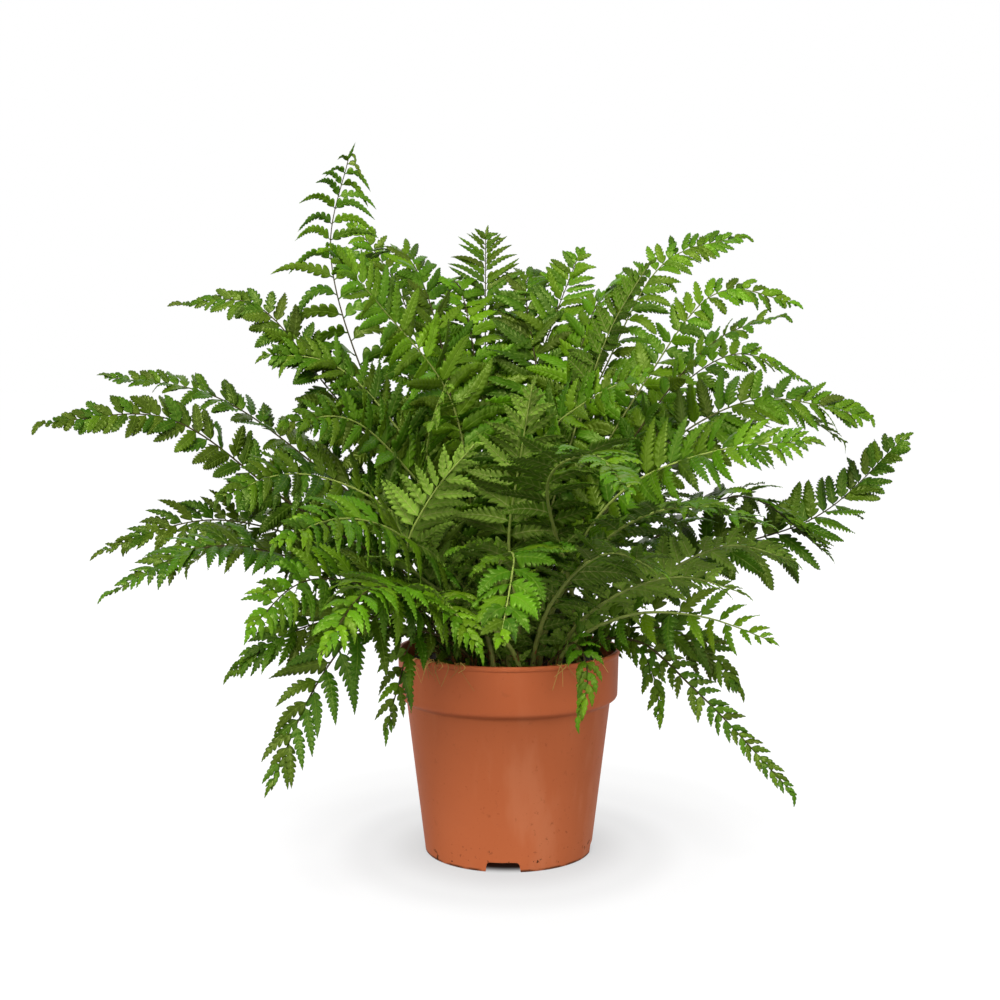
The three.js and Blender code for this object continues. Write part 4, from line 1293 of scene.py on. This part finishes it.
def soil_finish():
    finish = Finish("peat")
    grain = finish.speckle(500.0, 6.0, 0.7)
    clods = finish.speckle(120.0)
    colour = finish.blend(grain.between(0.35, 0.7), paint(22, 16, 12), paint(70, 50, 36))
    bits = (grain * clods).between(0.34, 0.42)
    colour = finish.blend(bits * 0.6, colour, paint(120, 88, 56))
    shader = finish.surface(
        Base_Color=colour,
        Roughness=0.85 + clods * 0.1,
        Normal=finish.bump(grain, 0.8 * MM, 0.9),
    )
    return finish.close(shader)


soil.data.materials.clear()
soil.data.materials.append(soil_finish())
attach(soil, "root")
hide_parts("soil")
print("soil finish has", len(soil.data.materials[0].node_tree.nodes), "nodes")

# %% [markdown]
# ## Root fibres
# A few dry roots have crept over the pot's rim. Each is a thin tube along a line that rises from
# the soil, crosses the lip and hangs outside, with small random bends. Hair would be quicker, but
# tubes keep their shape in every other program.

# %% Root fibres
FIBRE_SEED = 77
FIBRE_RADIUS = 0.4 * MM
FIBRE_RADII = (0.6, 1.2)
FIBRE_THINNING = 0.7
FIBRE_LEAN = 0.09
FIBRE_WAVE = 0.05
FIBRE_BENDS = (5, 11)
FIBRE_HANGS_MM = (1, 12)
FIBRE_POINTS = 28
FIBRE_SMOOTHINGS = 6
FIBRE_SCATTER_MM = 3
RIM_RADIUS_MM = 66
# Where a tuft of fibres crosses the rim, in millimetres from the middle, and how many are in it.
FIBRE_GROUPS = ((-43.0, 9), (-30.0, 6), (29.0, 4), (-56.0, 4), (52.0, 3))


def grow_fibre(growth, random_numbers, across):
    turn = math.asin(across / RIM_RADIUS_MM)
    normal = random_numbers.normal
    lean = normal(0, FIBRE_LEAN)
    hang = random_numbers.uniform(*FIBRE_HANGS_MM)
    bends = random_numbers.uniform(*FIBRE_BENDS)
    # Radius and height in millimetres, and how far the fibre has leant sideways by then.
    knots = [
        (57, 109.5, 0), (60.5, 113 + normal(0, 1), 0.3), (64.2, 120.0 + abs(normal(0, 1.2)), 0.6),
        (66.6, 118.2, 0.85), (66.0 + abs(normal(0, 1)), 118 - hang, 1.3),
    ]
    line = []
    for radius, height, share in knots:
        here = turn + lean * share + FIBRE_WAVE * math.sin(share * bends + lean * 40)
        line.append((radius * math.sin(here), -radius * math.cos(here), height))
    line = np.array(line) * MM
    steps = np.linspace(0, len(knots) - 1, FIBRE_POINTS)
    place = np.stack([np.interp(steps, np.arange(len(knots)), part) for part in line.T], -1)
    for _ in range(FIBRE_SMOOTHINGS):
        place[1:-1] = (place[:-2] + 2 * place[1:-1] + place[2:]) / 4
    along = unit(np.gradient(place, axis=0))
    right = unit(np.cross(along, np.array([1.0, 0.3, 0.2])))
    radius = FIBRE_RADIUS * random_numbers.uniform(*FIBRE_RADII)
    radius = radius * (1 - FIBRE_THINNING * steps / steps[-1])
    faces = tube_faces(len(place))
    growth.add(
        tube_points(place, np.cross(right, along), right, radius), faces,
        np.ones(len(faces), bool), 0, tone=random_numbers.uniform(),
    )


fibre_numbers = np.random.default_rng(FIBRE_SEED)
fibres = Growth()
for middle, count in FIBRE_GROUPS:
    for _ in range(count):
        grow_fibre(fibres, fibre_numbers, middle + fibre_numbers.normal(0, FIBRE_SCATTER_MM))
root_finish = dry_finish("root_fibre", paint(146, 104, 44), paint(206, 178, 92), 0.7)
root_fibres = fibres.build("root_fibres", [root_finish])
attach(root_fibres, "root")
print(sum(count for _, count in FIBRE_GROUPS), "root fibres")

# %% [markdown]
# ## Floor
# The pot stands on plain white with no edge, as for a catalogue, and its shadow is only a soft
# darkening round the foot. A lit white floor would turn grey far off, so most of this one's white
# is a glow of its own, which doesn't light the leaves. The glow is weaker near the pot and gone
# under it, which paints that soft shadow, and the lamps' own shadows fall on the part that is lit.

# %% Floor
FLOOR_HALF = 30.0
FLOOR_WHITE = 0.12
SHADE_STRETCH = 0.87
# Distance from the pot's middle in metres, and how strongly the floor glows there. The weaker glow
# near the pot is a painted shadow.
GLOW_WITH_PAINTED_SHADOW = ((0.045, 0.60), (0.08, 0.74), (0.11, 0.83), (0.16, 0.89), (0.22, 0.97))
PAINTED_FOOT_SHADOW_EDGE = (0.038, 0.0505)
BLACK = (0.0, 0.0, 0.0)

floor_mesh = bpy.data.meshes.new("floor")
floor_corners = [(-1, -1), (1, -1), (1, 1), (-1, 1)]
floor_mesh.from_pydata(
    [(x * FLOOR_HALF, y * FLOOR_HALF, 0) for x, y in floor_corners], [], [(0, 1, 2, 3)]
)
floor = put_in_scene("floor", floor_mesh)
floor_finish = Finish("floor_white")
floor_place = floor_finish.place()


def distance_from_pot(stretch):
    place = floor_finish.stretched(floor_place, (1, stretch, 1))
    settings = {"operation": "LENGTH"}
    return floor_finish.add("ShaderNodeVectorMath", settings, {0: place}, output="Value")


from_pot = distance_from_pot(SHADE_STRETCH)
glow_with_painted_shadow = (GLOW_WITH_PAINTED_SHADOW[0][1],) * 3
for (near, _), (far, far_glow) in zip(GLOW_WITH_PAINTED_SHADOW, GLOW_WITH_PAINTED_SHADOW[1:]):
    glow_with_painted_shadow = floor_finish.blend(from_pot.between(near, far), glow_with_painted_shadow, (far_glow,) * 3)
# Under the foot the glow fades to black: a painted contact shadow.
glow_with_painted_shadow = floor_finish.blend(distance_from_pot(1.0).between(*PAINTED_FOOT_SHADOW_EDGE), BLACK, glow_with_painted_shadow)
floor_mesh.materials.append(floor_finish.close(floor_finish.surface(
    Base_Color=(FLOOR_WHITE, FLOOR_WHITE, FLOOR_WHITE, 1), Roughness=0.9, Specular_IOR_Level=0.0,
    Emission_Color=glow_with_painted_shadow, Emission_Strength=1.0,
)))
floor.visible_diffuse = False
print("floor is", 2 * FLOOR_HALF, "m wide")

# %% [markdown]
# ## Backdrop and light
# A large glowing ball is the white behind the plant. Only the camera sees it, so it doesn't light
# the leaves. The light is a dim white sky and four soft round lamps: a key above the camera, a
# wide fill on each side, and a weak one behind, which keeps the back from going dark.

# %% Backdrop
BACKDROP_RADIUS = 25.0

backdrop_shape = bmesh.new()
bmesh.ops.create_uvsphere(backdrop_shape, u_segments=48, v_segments=24, radius=BACKDROP_RADIUS)
backdrop_mesh = bpy.data.meshes.new("backdrop")
backdrop_shape.to_mesh(backdrop_mesh)
backdrop_shape.free()
backdrop = put_in_scene("backdrop", backdrop_mesh)
backdrop_finish = Finish("backdrop_white")
white = backdrop_finish.add("ShaderNodeEmission", None, {"Color": (1, 1, 1, 1), "Strength": 1.0})
backdrop_mesh.materials.append(backdrop_finish.close(white))
for ray in ("diffuse", "glossy", "transmission", "shadow"):
    setattr(backdrop, "visible_" + ray, False)
print("backdrop is", 2 * BACKDROP_RADIUS, "m across")

# %% Light
SKY_STRENGTH = 0.27
LAMP_AIM = Vector((0, 0, 0.2))
# Each lamp's place, width in metres and power in watts.
LAMPS = {
    "key": ((-0.3, -1.2, 1.5), 0.9, 36),
    "fill_left": ((-1.4, -1.1, 0.7), 2.4, 29),
    "fill_right": ((1.4, -1.1, 0.7), 2.4, 25),
    "back": ((0.0, 1.7, 1.3), 2.4, 15),
}

scene.view_settings.view_transform = "Standard"
world = bpy.data.worlds.new("sky")
scene.world = world
world.use_nodes = True
world.node_tree.nodes["Background"].inputs["Color"].default_value = (1, 1, 1, 1)
world.node_tree.nodes["Background"].inputs["Strength"].default_value = SKY_STRENGTH
for name, (place, width, power) in LAMPS.items():
    lamp_data = bpy.data.lights.new(name, "AREA")
    lamp_data.shape = "DISK"
    lamp_data.size = width
    lamp_data.energy = power
    lamp = put_in_scene(name, lamp_data)
    lamp.location = place
    lamp.rotation_euler = (LAMP_AIM - Vector(place)).to_track_quat("-Z", "Y").to_euler()
print(len(LAMPS), "lamps")
